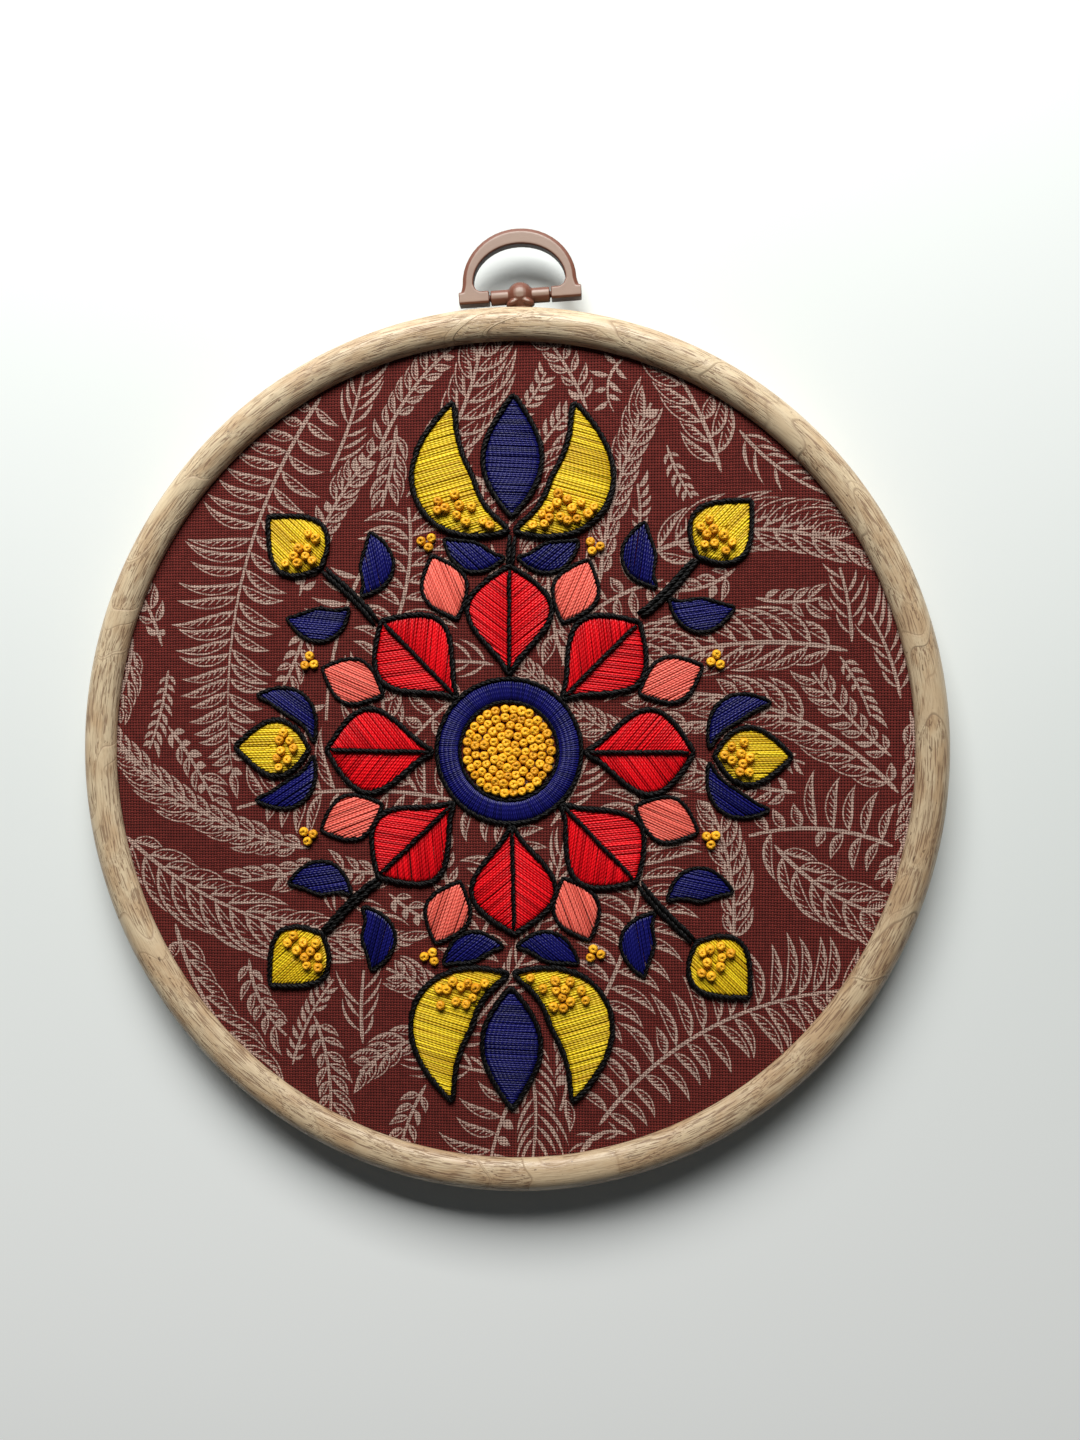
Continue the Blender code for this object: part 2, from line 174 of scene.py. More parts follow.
def start_material(name, **sockets):
    """A Principled material, its tree and its shader."""
    material = bpy.data.materials.new(name)
    material.use_nodes = True
    tree = material.node_tree
    shader = tree.nodes["Principled BSDF"]
    for key, value in sockets.items():
        shader.inputs[key.replace("_", " ")].default_value = value
    return material, tree, shader


def blend_colours(tree, factor, first, second, mode="MIX"):
    """One colour over another by a factor."""
    mixed = add_node(tree, "Mix", {0: factor, 6: first, 7: second}, data_type="RGBA", blend_type=mode)
    return mixed.outputs[2]


def new_piece(name, verts, faces, materials, body, slot=None, replaces=(), smooth=True, **attributes):
    """A mesh object that rides on a body, with per-point numbers under the names given."""
    mesh = bpy.data.meshes.new(name)
    mesh.from_pydata(np.asarray(verts).tolist(), [], faces)
    mesh.update()
    for key, values in attributes.items():
        mesh.attributes.new(key, "FLOAT", "POINT").data.foreach_set("value", np.asarray(values, np.float32))
    if smooth:
        mesh.shade_smooth()
    for material in materials:
        mesh.materials.append(material)
    piece = bpy.data.objects.new(name, mesh)
    bpy.context.scene.collection.objects.link(piece)
    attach(piece, body)
    if replaces:
        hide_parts(*replaces)
    return piece


# Rings


def turned_ring(section, steps):
    """Points and faces of a closed (radius, height) section turned about the hoop's centre, made oval."""
    section = np.array(section)
    angles = np.arange(steps) * math.tau / steps
    x = np.outer(np.cos(angles), section[:, 0]) + CENTRE[0]
    y = np.outer(np.sin(angles), section[:, 0]) * OVAL + CENTRE[1]
    z = np.tile(section[:, 1], (steps, 1))
    verts = np.stack([x, y, z], 2).reshape(-1, 3)
    count = len(section)
    faces = []
    for i in range(steps):
        near, far = i * count, (i + 1) % steps * count
        for j in range(count):
            k = (j + 1) % count
            faces.append((near + j, far + j, far + k, near + k))
    return verts, faces


def rounded(points, radius, steps=4):
    """The closed outline with each corner rounded, by a quadratic curve between its two sides."""
    out = []
    for i, corner in enumerate(points):
        corner = np.array(corner)
        before = np.array(points[i - 1]) - corner
        after = np.array(points[(i + 1) % len(points)]) - corner
        near = corner + before * min(radius / np.linalg.norm(before), 0.45)
        far = corner + after * min(radius / np.linalg.norm(after), 0.45)
        for t in np.linspace(0, 1, steps):
            out.append((1 - t) ** 2 * near + 2 * t * (1 - t) * corner + t**2 * far)
    return out


def math_node(tree, operation, *values, clamp=False):
    """One Math node; each value is a number or another node's output."""
    inputs = dict(enumerate(values))
    return add_node(tree, "Math", inputs, operation=operation, use_clamp=clamp).outputs[0]


def ramp(tree, value, low, high, bottom=0.0, top=1.0):
    """A value's rise from low to high as one from bottom to top, held at both ends."""
    inputs = {"Value": value, "From Min": low, "From Max": high, "To Min": bottom, "To Max": top}
    return add_node(tree, "MapRange", inputs, interpolation_type="SMOOTHSTEP").outputs[0]


class RingPlace:
    """Shader coordinates on the ring that have no seam: round it, and round its section."""

    def __init__(self, tree):
        self.tree = tree
        place = add_node(tree, "TexCoord").outputs["Object"]
        x, y, self.z = add_node(tree, "SeparateXYZ", {0: place}).outputs
        self.east = math_node(tree, "SUBTRACT", x, float(CENTRE[0]))
        self.north = math_node(tree, "SUBTRACT", y, float(CENTRE[1]))
        flat = add_node(tree, "CombineXYZ", {0: self.east, 1: self.north}).outputs[0]
        self.radius = add_node(tree, "VectorMath", {0: flat}, operation="LENGTH").outputs["Value"]
        self.around = add_node(tree, "VectorMath", {0: flat}, operation="NORMALIZE").outputs[0]

    def turns(self):
        """The share of a full turn, which steps by one at the west."""
        angle = math_node(self.tree, "ARCTAN2", self.north, self.east)
        return math_node(self.tree, "DIVIDE", angle, math.tau)

    def section(self):
        """Place over the front: -1 at the outside, 0 at the crown, 1 at the lip."""
        out = math_node(self.tree, "SUBTRACT", self.radius, OUTER_RADIUS - BAND_WIDTH / 2)
        up = math_node(self.tree, "SUBTRACT", self.z, 0.6 * float(RING_HIGH.z))
        angle = math_node(self.tree, "ARCTAN2", out, up)
        return math_node(self.tree, "DIVIDE", angle, -math.pi / 2)

    def noise(self, along, across, detail=2.0, roughness=0.5, shift=0.0):
        """Noise whose features are `along` metres round the ring and `across` metres over its section."""
        tree = self.tree
        scaled = add_node(tree, "VectorMath", {0: self.around, 3: OUTER_RADIUS / along}, operation="SCALE")
        lift = add_node(tree, "CombineXYZ", {2: math_node(tree, "DIVIDE", self.radius, across)}).outputs[0]
        place = add_node(tree, "VectorMath", {0: scaled.outputs[0], 1: lift}, operation="ADD").outputs[0]
        height = math_node(tree, "MULTIPLY_ADD", self.z, 1 / across, shift)
        inputs = {"Vector": place, "W": height, "Scale": 1.0,
                  "Detail": detail, "Roughness": roughness}
        return add_node(tree, "TexNoise", inputs, noise_dimensions="4D").outputs["Fac"]


def vinyl_material(settings):
    """Moulded vinyl with a printed wood grain: satin, with pale smooth tongues between patches of fine dashes, and
    painted shade that dims it towards the hoop's lower right.
    """
    material, tree, shader = start_material("moulded_vinyl_wood_print", Roughness=0.42, IOR=1.5)
    ring = RingPlace(tree)
    over = ring.section()

    # Tongues: a phase that rises round the ring, bent back at both sides and shifted by slow noise
    bend = math_node(tree, "MULTIPLY", math_node(tree, "MULTIPLY", over, over), settings.tongue_bend)
    lean = math_node(tree, "MULTIPLY_ADD", over, 0.16, bend)
    slow = math_node(tree, "MULTIPLY_ADD", ring.noise(26 * MM, 9 * MM, 1.0), 3.4, lean)
    phase = math_node(tree, "MULTIPLY_ADD", ring.turns(), float(settings.tongues), slow)
    step = math_node(tree, "FLOOR", phase)
    share = math_node(tree, "SUBTRACT", phase, step)
    own = math_node(tree, "WRAP", step, float(settings.tongues), 0.0)
    chance = add_node(tree, "TexWhiteNoise", {"W": own}, noise_dimensions="1D").outputs["Value"]
    reach = ramp(tree, chance, 0.25, 1.0, 0.0, 0.42)
    inside = math_node(tree, "SUBTRACT", reach, share)
    smooth = math_node(tree, "MULTIPLY", ramp(tree, inside, -0.12, 0.14), 0.82)
    front = math_node(tree, "MULTIPLY", ramp(tree, share, 0.0, 0.05, 1.0, 0.0), ramp(tree, chance, 0.2, 0.5, 0.25, 1.0))
    rear = math_node(tree, "MULTIPLY", ramp(tree, math_node(tree, "ABSOLUTE", inside), 0.0, 0.035, 1.0, 0.0), 0.45)
    line = math_node(tree, "MAXIMUM", front, rear)

    hump = math_node(tree, "MULTIPLY", share, math_node(tree, "SUBTRACT", 1.0, share))
    swirl = math_node(tree, "MULTIPLY", hump, settings.grain_swirl)
    dashes = ramp(tree, ring.noise(4.4 * MM, settings.grain_width, 2.0, 0.55, swirl), 0.53, 0.59)
    fibres = ramp(tree, ring.noise(8.0 * MM, 0.24 * MM, 2.0, 0.6, swirl), 0.46, 0.62)
    patches = ramp(tree, ring.noise(7.0 * MM, 2.6 * MM, 3.0, 0.55), 0.38, 0.62)
    grainy = math_node(tree, "SUBTRACT", 1.0, smooth)
    dash_here = math_node(tree, "MULTIPLY", dashes, math_node(tree, "MULTIPLY_ADD", grainy, 0.62, 0.10))
    fibre_here = math_node(tree, "MULTIPLY", fibres, math_node(tree, "MULTIPLY_ADD", grainy, 0.20, 0.08))
    tan_here = math_node(tree, "MULTIPLY", patches, math_node(tree, "MULTIPLY_ADD", grainy, 0.50, 0.30))
    specks = ramp(tree, ring.noise(1.3 * MM, 0.5 * MM, 1.0), 0.70, 0.75, 0.0, 0.7)

    base = blend_colours(tree, tan_here, tuple(settings.cream), tuple(settings.tan))
    for factor in (fibre_here, dash_here, math_node(tree, "MULTIPLY", line, 0.55)):
        base = blend_colours(tree, factor, base, tuple(settings.brown))
    base = blend_colours(tree, specks, base, srgb("594230"))
    # Painted shade: the grain is multiplied down by up to about a fifth towards the hoop's lower right, as extra
    # fall-off of the light there.
    toward = add_node(tree, "VectorMath", {0: ring.around, 1: (0.45, -0.90, 0)}, operation="DOT_PRODUCT")
    darker = ramp(tree, toward.outputs["Value"], -0.3, 0.9)
    grain_with_painted_shade = blend_colours(tree, darker, base, srgb("E9E5E2"), "MULTIPLY")
    tree.links.new(grain_with_painted_shade, shader.inputs["Base Color"])

    carved = math_node(tree, "MAXIMUM", math_node(tree, "MAXIMUM", dash_here, fibre_here), line)
    height = math_node(tree, "MULTIPLY_ADD", smooth, 0.3, math_node(tree, "SUBTRACT", 1.0, carved))
    bump = add_node(tree, "Bump", {"Height": height, "Strength": 0.55, "Distance": 0.13 * MM})
    tree.links.new(bump.outputs[0], shader.inputs["Normal"])
    tree.links.new(ramp(tree, carved, 0.0, 1.0, 0.38, 0.6), shader.inputs["Roughness"])
    return material


def ring_section():
    """Round front over the lip, then a wall that goes down to a flat back, as (radius, height)."""
    crown = OUTER_RADIUS - BAND_WIDTH / 2
    half = BAND_WIDTH / 2
    top = RING_HIGH.z
    shoulder = 0.56 * top
    lip_edge = 0.785 * top
    section = []
    for angle in np.linspace(0, math.pi / 2, 13):
        section.append((crown + half * math.cos(angle), shoulder + (top - shoulder) * math.sin(angle)))
    for angle in np.linspace(0, math.pi / 2, 11)[1:]:
        section.append((crown - half * math.sin(angle), lip_edge + (top - lip_edge) * math.cos(angle)))
    wall = CLOTH_RADIUS + 0.3 * MM
    under = CLOTH_FACE + 0.06 * MM
    back = OUTER_RADIUS - 0.3 * MM
    section += [
        (OPENING_RADIUS, under + 0.1 * MM),
        (OPENING_RADIUS + 0.1 * MM, under),
        (wall, under),
        (wall, 0.2 * MM),
        (wall + 0.2 * MM, 0),
        (back - 0.7 * MM, 0),
        (back - 0.2 * MM, 0.15 * MM),
        (back, 0.6 * MM),
        (back + 0.15 * MM, 3.0 * MM),
    ]
    return section


class EMBROIDERY_OT_rings(bpy.types.Operator):
    """Make the vinyl outer ring and the plain inner ring"""

    bl_idname = "embroidery.rings"
    bl_label = "Hoop rings"

    def execute(self, context):
        settings = context.scene.hoop_vinyl
        verts, faces = turned_ring(ring_section(), 360)
        vinyl = vinyl_material(settings)
        new_piece("ring_moulding", verts, faces, [vinyl], HOOP, "ring_vinyl", ["outer_ring"])

        width = 2.4 * MM
        outside = (INNER_HIGH.x - INNER_LOW.x) / 2
        corners = [(outside, 0), (outside, INNER_HIGH.z), (outside - width, INNER_HIGH.z), (outside - width, 0)]
        verts, faces = turned_ring(rounded(corners, 0.5 * MM), 240)
        plain = inner_plastic_material()
        new_piece("inner_ring_moulding", verts, faces, [plain], HOOP, "inner_ring_plastic", ["inner_ring"])
        return {"FINISHED"}


def inner_plastic_material():
    """Injection-moulded ABS, unprinted: an even cream with faint cloudy tone and a fine eggshell surface."""
    material, tree, shader = start_material("moulded_abs_cream", Roughness=0.55, IOR=1.53)
    place = add_node(tree, "TexCoord").outputs["Object"]
    cloud = add_node(tree, "TexNoise", {"Vector": place, "Scale": 60.0, "Detail": 3.0}).outputs["Fac"]
    tone = blend_colours(tree, cloud, srgb("CDBE9E"), srgb("BFAE8C"))
    tree.links.new(tone, shader.inputs["Base Color"])
    grit = add_node(tree, "TexNoise", {"Vector": place, "Scale": 4000.0}).outputs["Fac"]
    bump = add_node(tree, "Bump", {"Height": grit, "Strength": 0.2, "Distance": 0.03 * MM})
    tree.links.new(bump.outputs[0], shader.inputs["Normal"])
    return material


# Printed cotton

FrondKind = namedtuple("FrondKind", "style spacing leaf_length leaf_width opening curl rib")

FROND_KINDS = [
    FrondKind("flecked", 3.3, 17.0, 2.4, 50, 66, 0.85),
    FrondKind("flecked", 2.9, 12.5, 2.1, 60, -52, 0.80),
    FrondKind("flecked", 2.65, 10.0, 1.9, 46, 60, 0.75),
    FrondKind("flecked", 2.35, 6.5, 1.55, 58, 50, 0.70),
    FrondKind("stroke", 2.3, 11.0, 0.72, 50, 52, 0.70),
    FrondKind("solid", 2.5, 8.5, 1.30, 64, -36, 0.75),
    FrondKind("solid", 1.7, 3.9, 0.90, 56, 40, 0.60),
]


# Bare cloth between two fronds and between a frond's own leaflets, in millimetres, and the fewest leaflets of one
MARGIN = 0.24
BARE_LINE = 0.36
FEWEST_LEAFLETS = 7


class PrintLayout:
    """Places printed fronds so that a later one goes behind those already there."""

    CELL = 0.3

    def __init__(self, radius):
        self.radius = radius
        self.size = int(2 * radius / self.CELL) + 2
        self.taken = np.zeros((self.size, self.size), bool)
        self.shapes = []

    def cells(self, points):
        index = ((np.atleast_2d(points) + self.radius) / self.CELL).astype(int)
        return np.clip(index, 0, self.size - 1)

    def free(self, points):
        index = self.cells(points)
        return ~self.taken[index[:, 0], index[:, 1]]

    def take(self, points, reach):
        """Marks the cells within reach of each point."""
        steps = max(1, math.ceil(reach / self.CELL))
        grid = np.arange(-steps, steps + 1)
        near = [(a, b) for a in grid for b in grid if math.hypot(a, b) * self.CELL <= reach]
        index = self.cells(points)
        for a, b in near:
            self.taken[np.clip(index[:, 0] + a, 0, self.size - 1), np.clip(index[:, 1] + b, 0, self.size - 1)] = True


def curve_from(start, heading, reach, turn, steps):
    """Points of a line that turns evenly from its first heading."""
    headings = heading + turn * (np.arange(steps) + 0.5) / steps
    moves = np.stack([np.cos(headings), np.sin(headings)], 1) * reach / steps
    return np.vstack([start, start + np.cumsum(moves, 0)])


def sides_of(points):
    """Unit vectors to the left of a polyline at each point."""
    ahead = np.gradient(points, axis=0)
    ahead /= np.linalg.norm(ahead, axis=1)[:, None] + 1e-12
    return np.stack([-ahead[:, 1], ahead[:, 0]], 1)


def leaf_shape(points, half_widths):
    """A closed outline about a middle line, anticlockwise."""
    side = sides_of(points) * half_widths[:, None]
    return np.vstack([points - side, (points + side)[::-1]])


def leaf_profile(steps, half_width, fullness):
    t = np.linspace(0, 1, steps + 1)
    return half_width * np.sin(math.pi * t**fullness) ** 1.05 + 0.02


def leaflet_shapes(kind, line, width):
    """(outline, whether it is printed) rows, each painted over those before it."""
    steps = len(line) - 1
    reach = float(np.linalg.norm(np.diff(line, axis=0), axis=1).sum())
    profile = leaf_profile(steps, width / 2, 0.78)
    stroke = 0.40
    coarse = np.linspace(1, steps, 5).astype(int)
    rows = [(leaf_shape(line[coarse], profile[coarse] + BARE_LINE), False), (leaf_shape(line, profile), True)]
    if kind.style != "flecked" or width < 3 * stroke or reach < 3.0:
        return rows
    bare = slice(1, steps)
    side = sides_of(line)
    open_room = np.maximum(profile - stroke, 0.04)
    hollow = line + side * np.minimum(open_room, 0.12)[:, None]
    rows.append((leaf_shape(hollow[bare], open_room[bare]), False))
    for i in range(1, steps - 1):
        room = (open_room[i] + open_room[i + 1]) / 2
        if room < 0.22:
            continue
        foot = hollow[i] - side[i] * (room + 0.1)
        head = hollow[i] * 0.1 + hollow[i + 1] * 0.9 + side[i] * room * 0.35
        rows.append((leaf_shape(np.array([foot, head]), np.array([0.18, 0.06])), True))
    return rows


def lay_frond(layout, rng, kind, base, heading, reach, turn):
    """Lays one frond, cut short where it meets what is there. Returns whether it was laid."""
    steps = max(6, int(reach / 1.5))
    rib = curve_from(base, heading, reach, turn, steps)
    clear = layout.free(rib) & (np.hypot(*rib.T) < layout.radius - 0.6)
    stop = int(np.argmin(clear)) if not clear.all() else len(rib)
    if stop < 7:
        return False
    whole = stop == len(rib)
    rib = rib[:stop]
    drawn = reach * (stop - 1) / steps
    laid = []
    spread = np.linspace(kind.rib, kind.rib * (0.3 if whole else 0.7), stop) / 2
    spread[0] = 0.12
    spread[-1] = 0.06 if whole else spread[-1]
    leaflets = 0
    marks = [(rib, kind.rib / 2 + MARGIN)]
    headings = np.arctan2(*np.gradient(rib, axis=0).T[::-1])
    for side in (1, -1):
        place = rng.uniform(0.5, 1.0) * kind.spacing
        while place < drawn - 0.4:
            along = place / reach
            at = place / drawn * (stop - 1)
            low = min(int(at), stop - 2)
            root = rib[low] + (rib[low + 1] - rib[low]) * (at - low)
            swell = math.sin(math.pi * min(0.12 + 0.86 * along, 1)) ** 0.6
            size = kind.leaf_length * swell * rng.uniform(0.86, 1.08) * min(1, reach / (2.6 * kind.leaf_length))
            opening = math.radians(kind.opening * (1.12 - 0.5 * along) + rng.uniform(-4, 4))
            curl = -math.radians(kind.curl) * rng.uniform(0.7, 1.3)
            first = headings[low] + side * opening
            root = root + np.array([math.cos(first), math.sin(first)]) * (kind.rib / 2 - 0.05)
            place += kind.spacing * rng.uniform(0.9, 1.1) * (1.08 - 0.3 * along)
            if side * turn > 0:
                size *= 0.8
                place += 0.12 * kind.spacing
            if size < 1.6:
                continue
            pieces = 8 if kind.style == "flecked" else 5
            line = curve_from(root, first, size, side * curl, pieces)
            ahead = layout.free(line) & (np.hypot(*line.T) < layout.radius - 0.3)
            cut = int(np.argmin(ahead)) if not ahead.all() else len(line)
            if cut < 4:
                continue
            width = kind.leaf_width * min(1.0, 0.55 + size / kind.leaf_length * 0.5) * rng.uniform(0.9, 1.08)
            if cut < len(line):
                line = curve_from(root, first, size * (cut - 1) / pieces, side * curl * (cut - 1) / pieces, pieces)
            laid += leaflet_shapes(kind, line, width)
            leaflets += 1
            marks.append((line, width / 2 + MARGIN))
    if leaflets < FEWEST_LEAFLETS:
        return False
    laid.append((leaf_shape(rib, spread), True))
    if whole:
        line = curve_from(rib[-1], headings[-1], kind.leaf_length * 0.42, turn * 0.2, 7)
        if layout.free(line[1:]).all() and (np.hypot(*line.T) < layout.radius - 0.3).all():
            laid += leaflet_shapes(kind, line, kind.leaf_width * 0.8)
            marks.append((line, kind.leaf_width / 2 + MARGIN))
    for points, margin in marks:
        dense = np.vstack([points, (points[1:] + points[:-1]) / 2])
        layout.take(dense, margin)
    layout.shapes += laid
    return True


def lay_print(settings, radius):
    """The whole print: large fronds first, then smaller ones in the bare places. Sizes are millimetres."""
    rng = random.Random(settings.frond_seed)
    layout = PrintLayout(radius)
    for i in range(settings.fronds):
        share = i / settings.fronds
        longest = 74 * (1 - share) ** 1.3 + 11
        where = radius * math.sqrt(rng.random())
        bearing = rng.uniform(0, math.tau)
        base = np.array([where * math.cos(bearing), where * math.sin(bearing)])
        if not layout.free(base)[0]:
            continue
        kind = rng.choice(FROND_KINDS[:5] if share < 0.2 else FROND_KINDS[2:] if share < 0.5 else FROND_KINDS[3:])
        heading = rng.uniform(0, math.tau)
        turn = rng.choice((-1, 1)) * rng.uniform(0.7, 1.9)
        lay_frond(layout, rng, kind, base, heading, rng.uniform(0.6, 1.0) * longest, turn)
    return layout.shapes


def cotton_material(name, settings, ink_strength):
    """Plain-woven printed cotton: matt threads that go over and under each other, with painted shade in the gaps
    between.
    """
    material, tree, shader = start_material(name, Roughness=0.95, Specular_IOR_Level=0.15, Sheen_Weight=0.03)
    place = add_node(tree, "TexCoord").outputs["Object"]
    wander = add_node(tree, "TexNoise", {"Vector": place, "Scale": 220.0, "Detail": 1.0}).outputs["Color"]
    drift = add_node(tree, "VectorMath", {0: wander, 3: 0.22 * MM}, operation="SCALE").outputs[0]
    shifted = add_node(tree, "VectorMath", {0: place, 1: drift}, operation="ADD").outputs[0]
    split = add_node(tree, "SeparateXYZ", {0: shifted})
    waves = []
    for axis in (0, 1):
        phase = add_node(tree, "Math", {0: split.outputs[axis], 1: math.pi / settings.weave_pitch},
                         operation="MULTIPLY").outputs[0]
        waves.append(add_node(tree, "Math", {0: phase}, operation="SINE").outputs[0])
    over = add_node(tree, "Math", {0: waves[0], 1: waves[1]}, operation="MULTIPLY").outputs[0]
    heights = []
    for wave, sign in ((waves[0], 0.45), (waves[1], -0.45)):
        body = add_node(tree, "Math", {0: wave}, operation="ABSOLUTE").outputs[0]
        swing = add_node(tree, "Math", {0: over, 1: sign, 2: 0.55}, operation="MULTIPLY_ADD").outputs[0]
        heights.append(add_node(tree, "Math", {0: body, 1: swing}, operation="MULTIPLY").outputs[0])
    height = add_node(tree, "Math", {0: heights[0], 1: heights[1]}, operation="MAXIMUM").outputs[0]
    thread = add_node(tree, "MapRange", {"Value": height, "From Min": 0.26, "From Max": 0.56}).outputs[0]
    slub = add_node(tree, "TexNoise", {"Vector": shifted, "Scale": 900.0, "Detail": 2.0}).outputs["Fac"]
    fade = add_node(tree, "TexNoise", {"Vector": place, "Scale": 9.0, "Detail": 2.0}).outputs["Fac"]
    ink = blend_colours(tree, ink_strength, tuple(settings.ground), tuple(settings.ink))
    slub_shade = add_node(tree, "MapRange", {"Value": slub, "From Min": 0.3, "From Max": 0.7, "To Min": 0.78,
                                             "To Max": 1.14}).outputs[0]
    fade_shade = add_node(tree, "MapRange", {"Value": fade, "From Min": 0.3, "From Max": 0.7, "To Min": 0.93,
                                             "To Max": 1.06}).outputs[0]
    shade = add_node(tree, "Math", {0: slub_shade, 1: fade_shade}, operation="MULTIPLY").outputs[0]
    grey = add_node(tree, "CombineXYZ", {0: shade, 1: shade, 2: shade}).outputs[0]
    dyed = blend_colours(tree, 1.0, ink, grey, "MULTIPLY")
    # Painted shade in the gaps between threads: near black on the ground, a dark brown under the print.
    gap = blend_colours(tree, ink_strength * 0.3, tuple(settings.gap), srgb("7A5448"))
    final = blend_colours(tree, thread, gap, dyed)
    tree.links.new(final, shader.inputs["Base Color"])
    bump = add_node(tree, "Bump", {"Height": height, "Strength": 0.9, "Distance": 0.14 * MM})
    tree.links.new(bump.outputs[0], shader.inputs["Normal"])
    return material


def cloth_mesh(settings):
    """Triangles of the cotton's flat face, with each printed shape cut into them, and its turned-down rim."""
    radius = CLOTH_RADIUS - 0.5 * MM
    radius_mm = radius / MM
    rim_steps = 240
    rim = [(radius_mm * math.cos(a), radius_mm * math.sin(a)) for a in np.arange(rim_steps) * math.tau / rim_steps]
    points = [Vector(p) for p in rim]
    faces = [list(range(rim_steps))]
    inked = [False]
    for outline, ink in lay_print(settings, radius_mm - 0.8):
        start = len(points)
        points += [Vector((float(x), float(y))) for x, y in outline]
        faces.append(list(range(start, start + len(outline))))
        inked.append(ink)
    spacing = 4.0
    steps = int(radius_mm / spacing)
    for i in range(-steps, steps + 1):
        for j in range(-steps, steps + 1):
            spot = Vector(((i + 0.5 * (j % 2)) * spacing, j * spacing))
            if spot.length < radius_mm - 1.0:
                points.append(spot)
    made, _, triangles, sources, _, origins = delaunay_2d_cdt(points, [], faces, 1, 1e-5)
    printed = [inked[max(origin, default=0)] for origin in origins]
    flat = np.array([(p.x, p.y) for p in made]) * MM
    verts = np.zeros((len(flat), 3))
    verts[:, 0] = flat[:, 0] + CENTRE[0]
    verts[:, 1] = flat[:, 1] * OVAL + CENTRE[1]
    verts[:, 2] = CLOTH_FACE - 0.02 * MM
    triangles = [list(face) for face in triangles]
    edge = {}
    for index, source in enumerate(sources):
        for original in source:
            if original < rim_steps:
                edge[original] = index
    thick = 0.35 * MM
    foot = CLOTH_FACE - CLOTH_LOW.z
    levels = [(0.35 * MM, 0.15 * MM), (0.48 * MM, 0.6 * MM), (0.5 * MM, foot), (0.5 * MM - thick, foot)]
    levels += [(0.1 * MM, thick + 0.2 * MM), (-0.5 * MM, thick)]
    rows = [[edge[i] for i in range(rim_steps)]]
    extra = []
    for out, down in levels:
        start = len(verts) + len(extra)
        for i in range(rim_steps):
            angle = math.tau * i / rim_steps
            x = CENTRE[0] + (radius + out) * math.cos(angle)
            y = CENTRE[1] + (radius + out) * math.sin(angle) * OVAL
            extra.append((x, y, CLOTH_FACE - down))
        rows.append(list(range(start, start + rim_steps)))
    for upper, lower in zip(rows, rows[1:]):
        for i in range(rim_steps):
            k = (i + 1) % rim_steps
            triangles.append([upper[i], lower[i], lower[k], upper[k]])
            printed.append(False)
    triangles.append(rows[-1][::-1])
    printed.append(False)
    return np.vstack([verts, extra]), triangles, printed


class EMBROIDERY_OT_cotton(bpy.types.Operator):
    """Make the printed cotton that the hoop holds"""

    bl_idname = "embroidery.cotton"
    bl_label = "Printed cotton"

    def execute(self, context):
        settings = context.scene.hoop_cotton
        verts, faces, printed = cloth_mesh(settings)
        materials = [
            cotton_material("plain_woven_cotton_burgundy", settings, 0.0),
            cotton_material("plain_woven_cotton_taupe_print", settings, 1.0),
        ]
        piece = new_piece("printed_cotton", verts, faces, materials, HOOP, "printed_cotton", ["cloth"], smooth=False)
        piece.data.polygons.foreach_set("material_index", np.array(printed, np.int32))
        return {"FINISHED"}


# Stitches


class Threads:
    """Collects thread paths as tubes, for one mesh."""

    def __init__(self, sides=6):
        self.sides = sides
        self.verts = []
        self.faces = []
        self.shade = []
        self.ply = []
        self.top = []
        self.count = 0

    def add(self, path, radii, shade, across=None, twist=1.6 * MM):
        """One tube along a path. across is a level direction square to it, worked out where it isn't given."""
        path = np.asarray(path, float)
        steps = len(path)
        ahead = np.gradient(path, axis=0)
        ahead /= np.linalg.norm(ahead, axis=1)[:, None] + 1e-12
        if across is None:
            side = np.cross(ahead, (0, 0, 1.0))
        else:
            side = np.tile(np.append(across, 0.0), (steps, 1))
        side /= np.linalg.norm(side, axis=1)[:, None] + 1e-12
        up = np.cross(side, ahead)
        turns = np.arange(self.sides) * math.tau / self.sides
        radii = np.broadcast_to(radii, (steps,))
        ring = side[:, None] * np.cos(turns)[None, :, None] + up[:, None] * np.sin(turns)[None, :, None]
        self.verts.append((path[:, None] + ring * radii[:, None, None]).reshape(-1, 3))
        along = np.append(0, np.cumsum(np.linalg.norm(np.diff(path, axis=0), axis=1)))
        self.ply.append((along[:, None] / twist + turns[None] / math.tau).ravel())
        self.shade.append(np.repeat(np.broadcast_to(shade, (steps,)), self.sides))
        # How far each point of the tube faces up; the thread material paints shade on the low side with it
        self.top.append(np.tile(np.sin(turns), steps))
        first = self.count
        for i in range(steps - 1):
            near, far = first + i * self.sides, first + (i + 1) * self.sides
            for j in range(self.sides):
                k = (j + 1) % self.sides
                self.faces.append((near + j, near + k, far + k, far + j))
        self.faces.append(tuple(range(first, first + self.sides))[::-1])
        last = first + (steps - 1) * self.sides
        self.faces.append(tuple(range(last, last + self.sides)))
        self.count += steps * self.sides

    def piece(self, name, material, slot, replaces=()):
        return new_piece(
            name, np.vstack(self.verts), self.faces, [material], HOOP, slot, replaces,
            shade=np.concatenate(self.shade), ply=np.concatenate(self.ply), top=np.concatenate(self.top),
        )


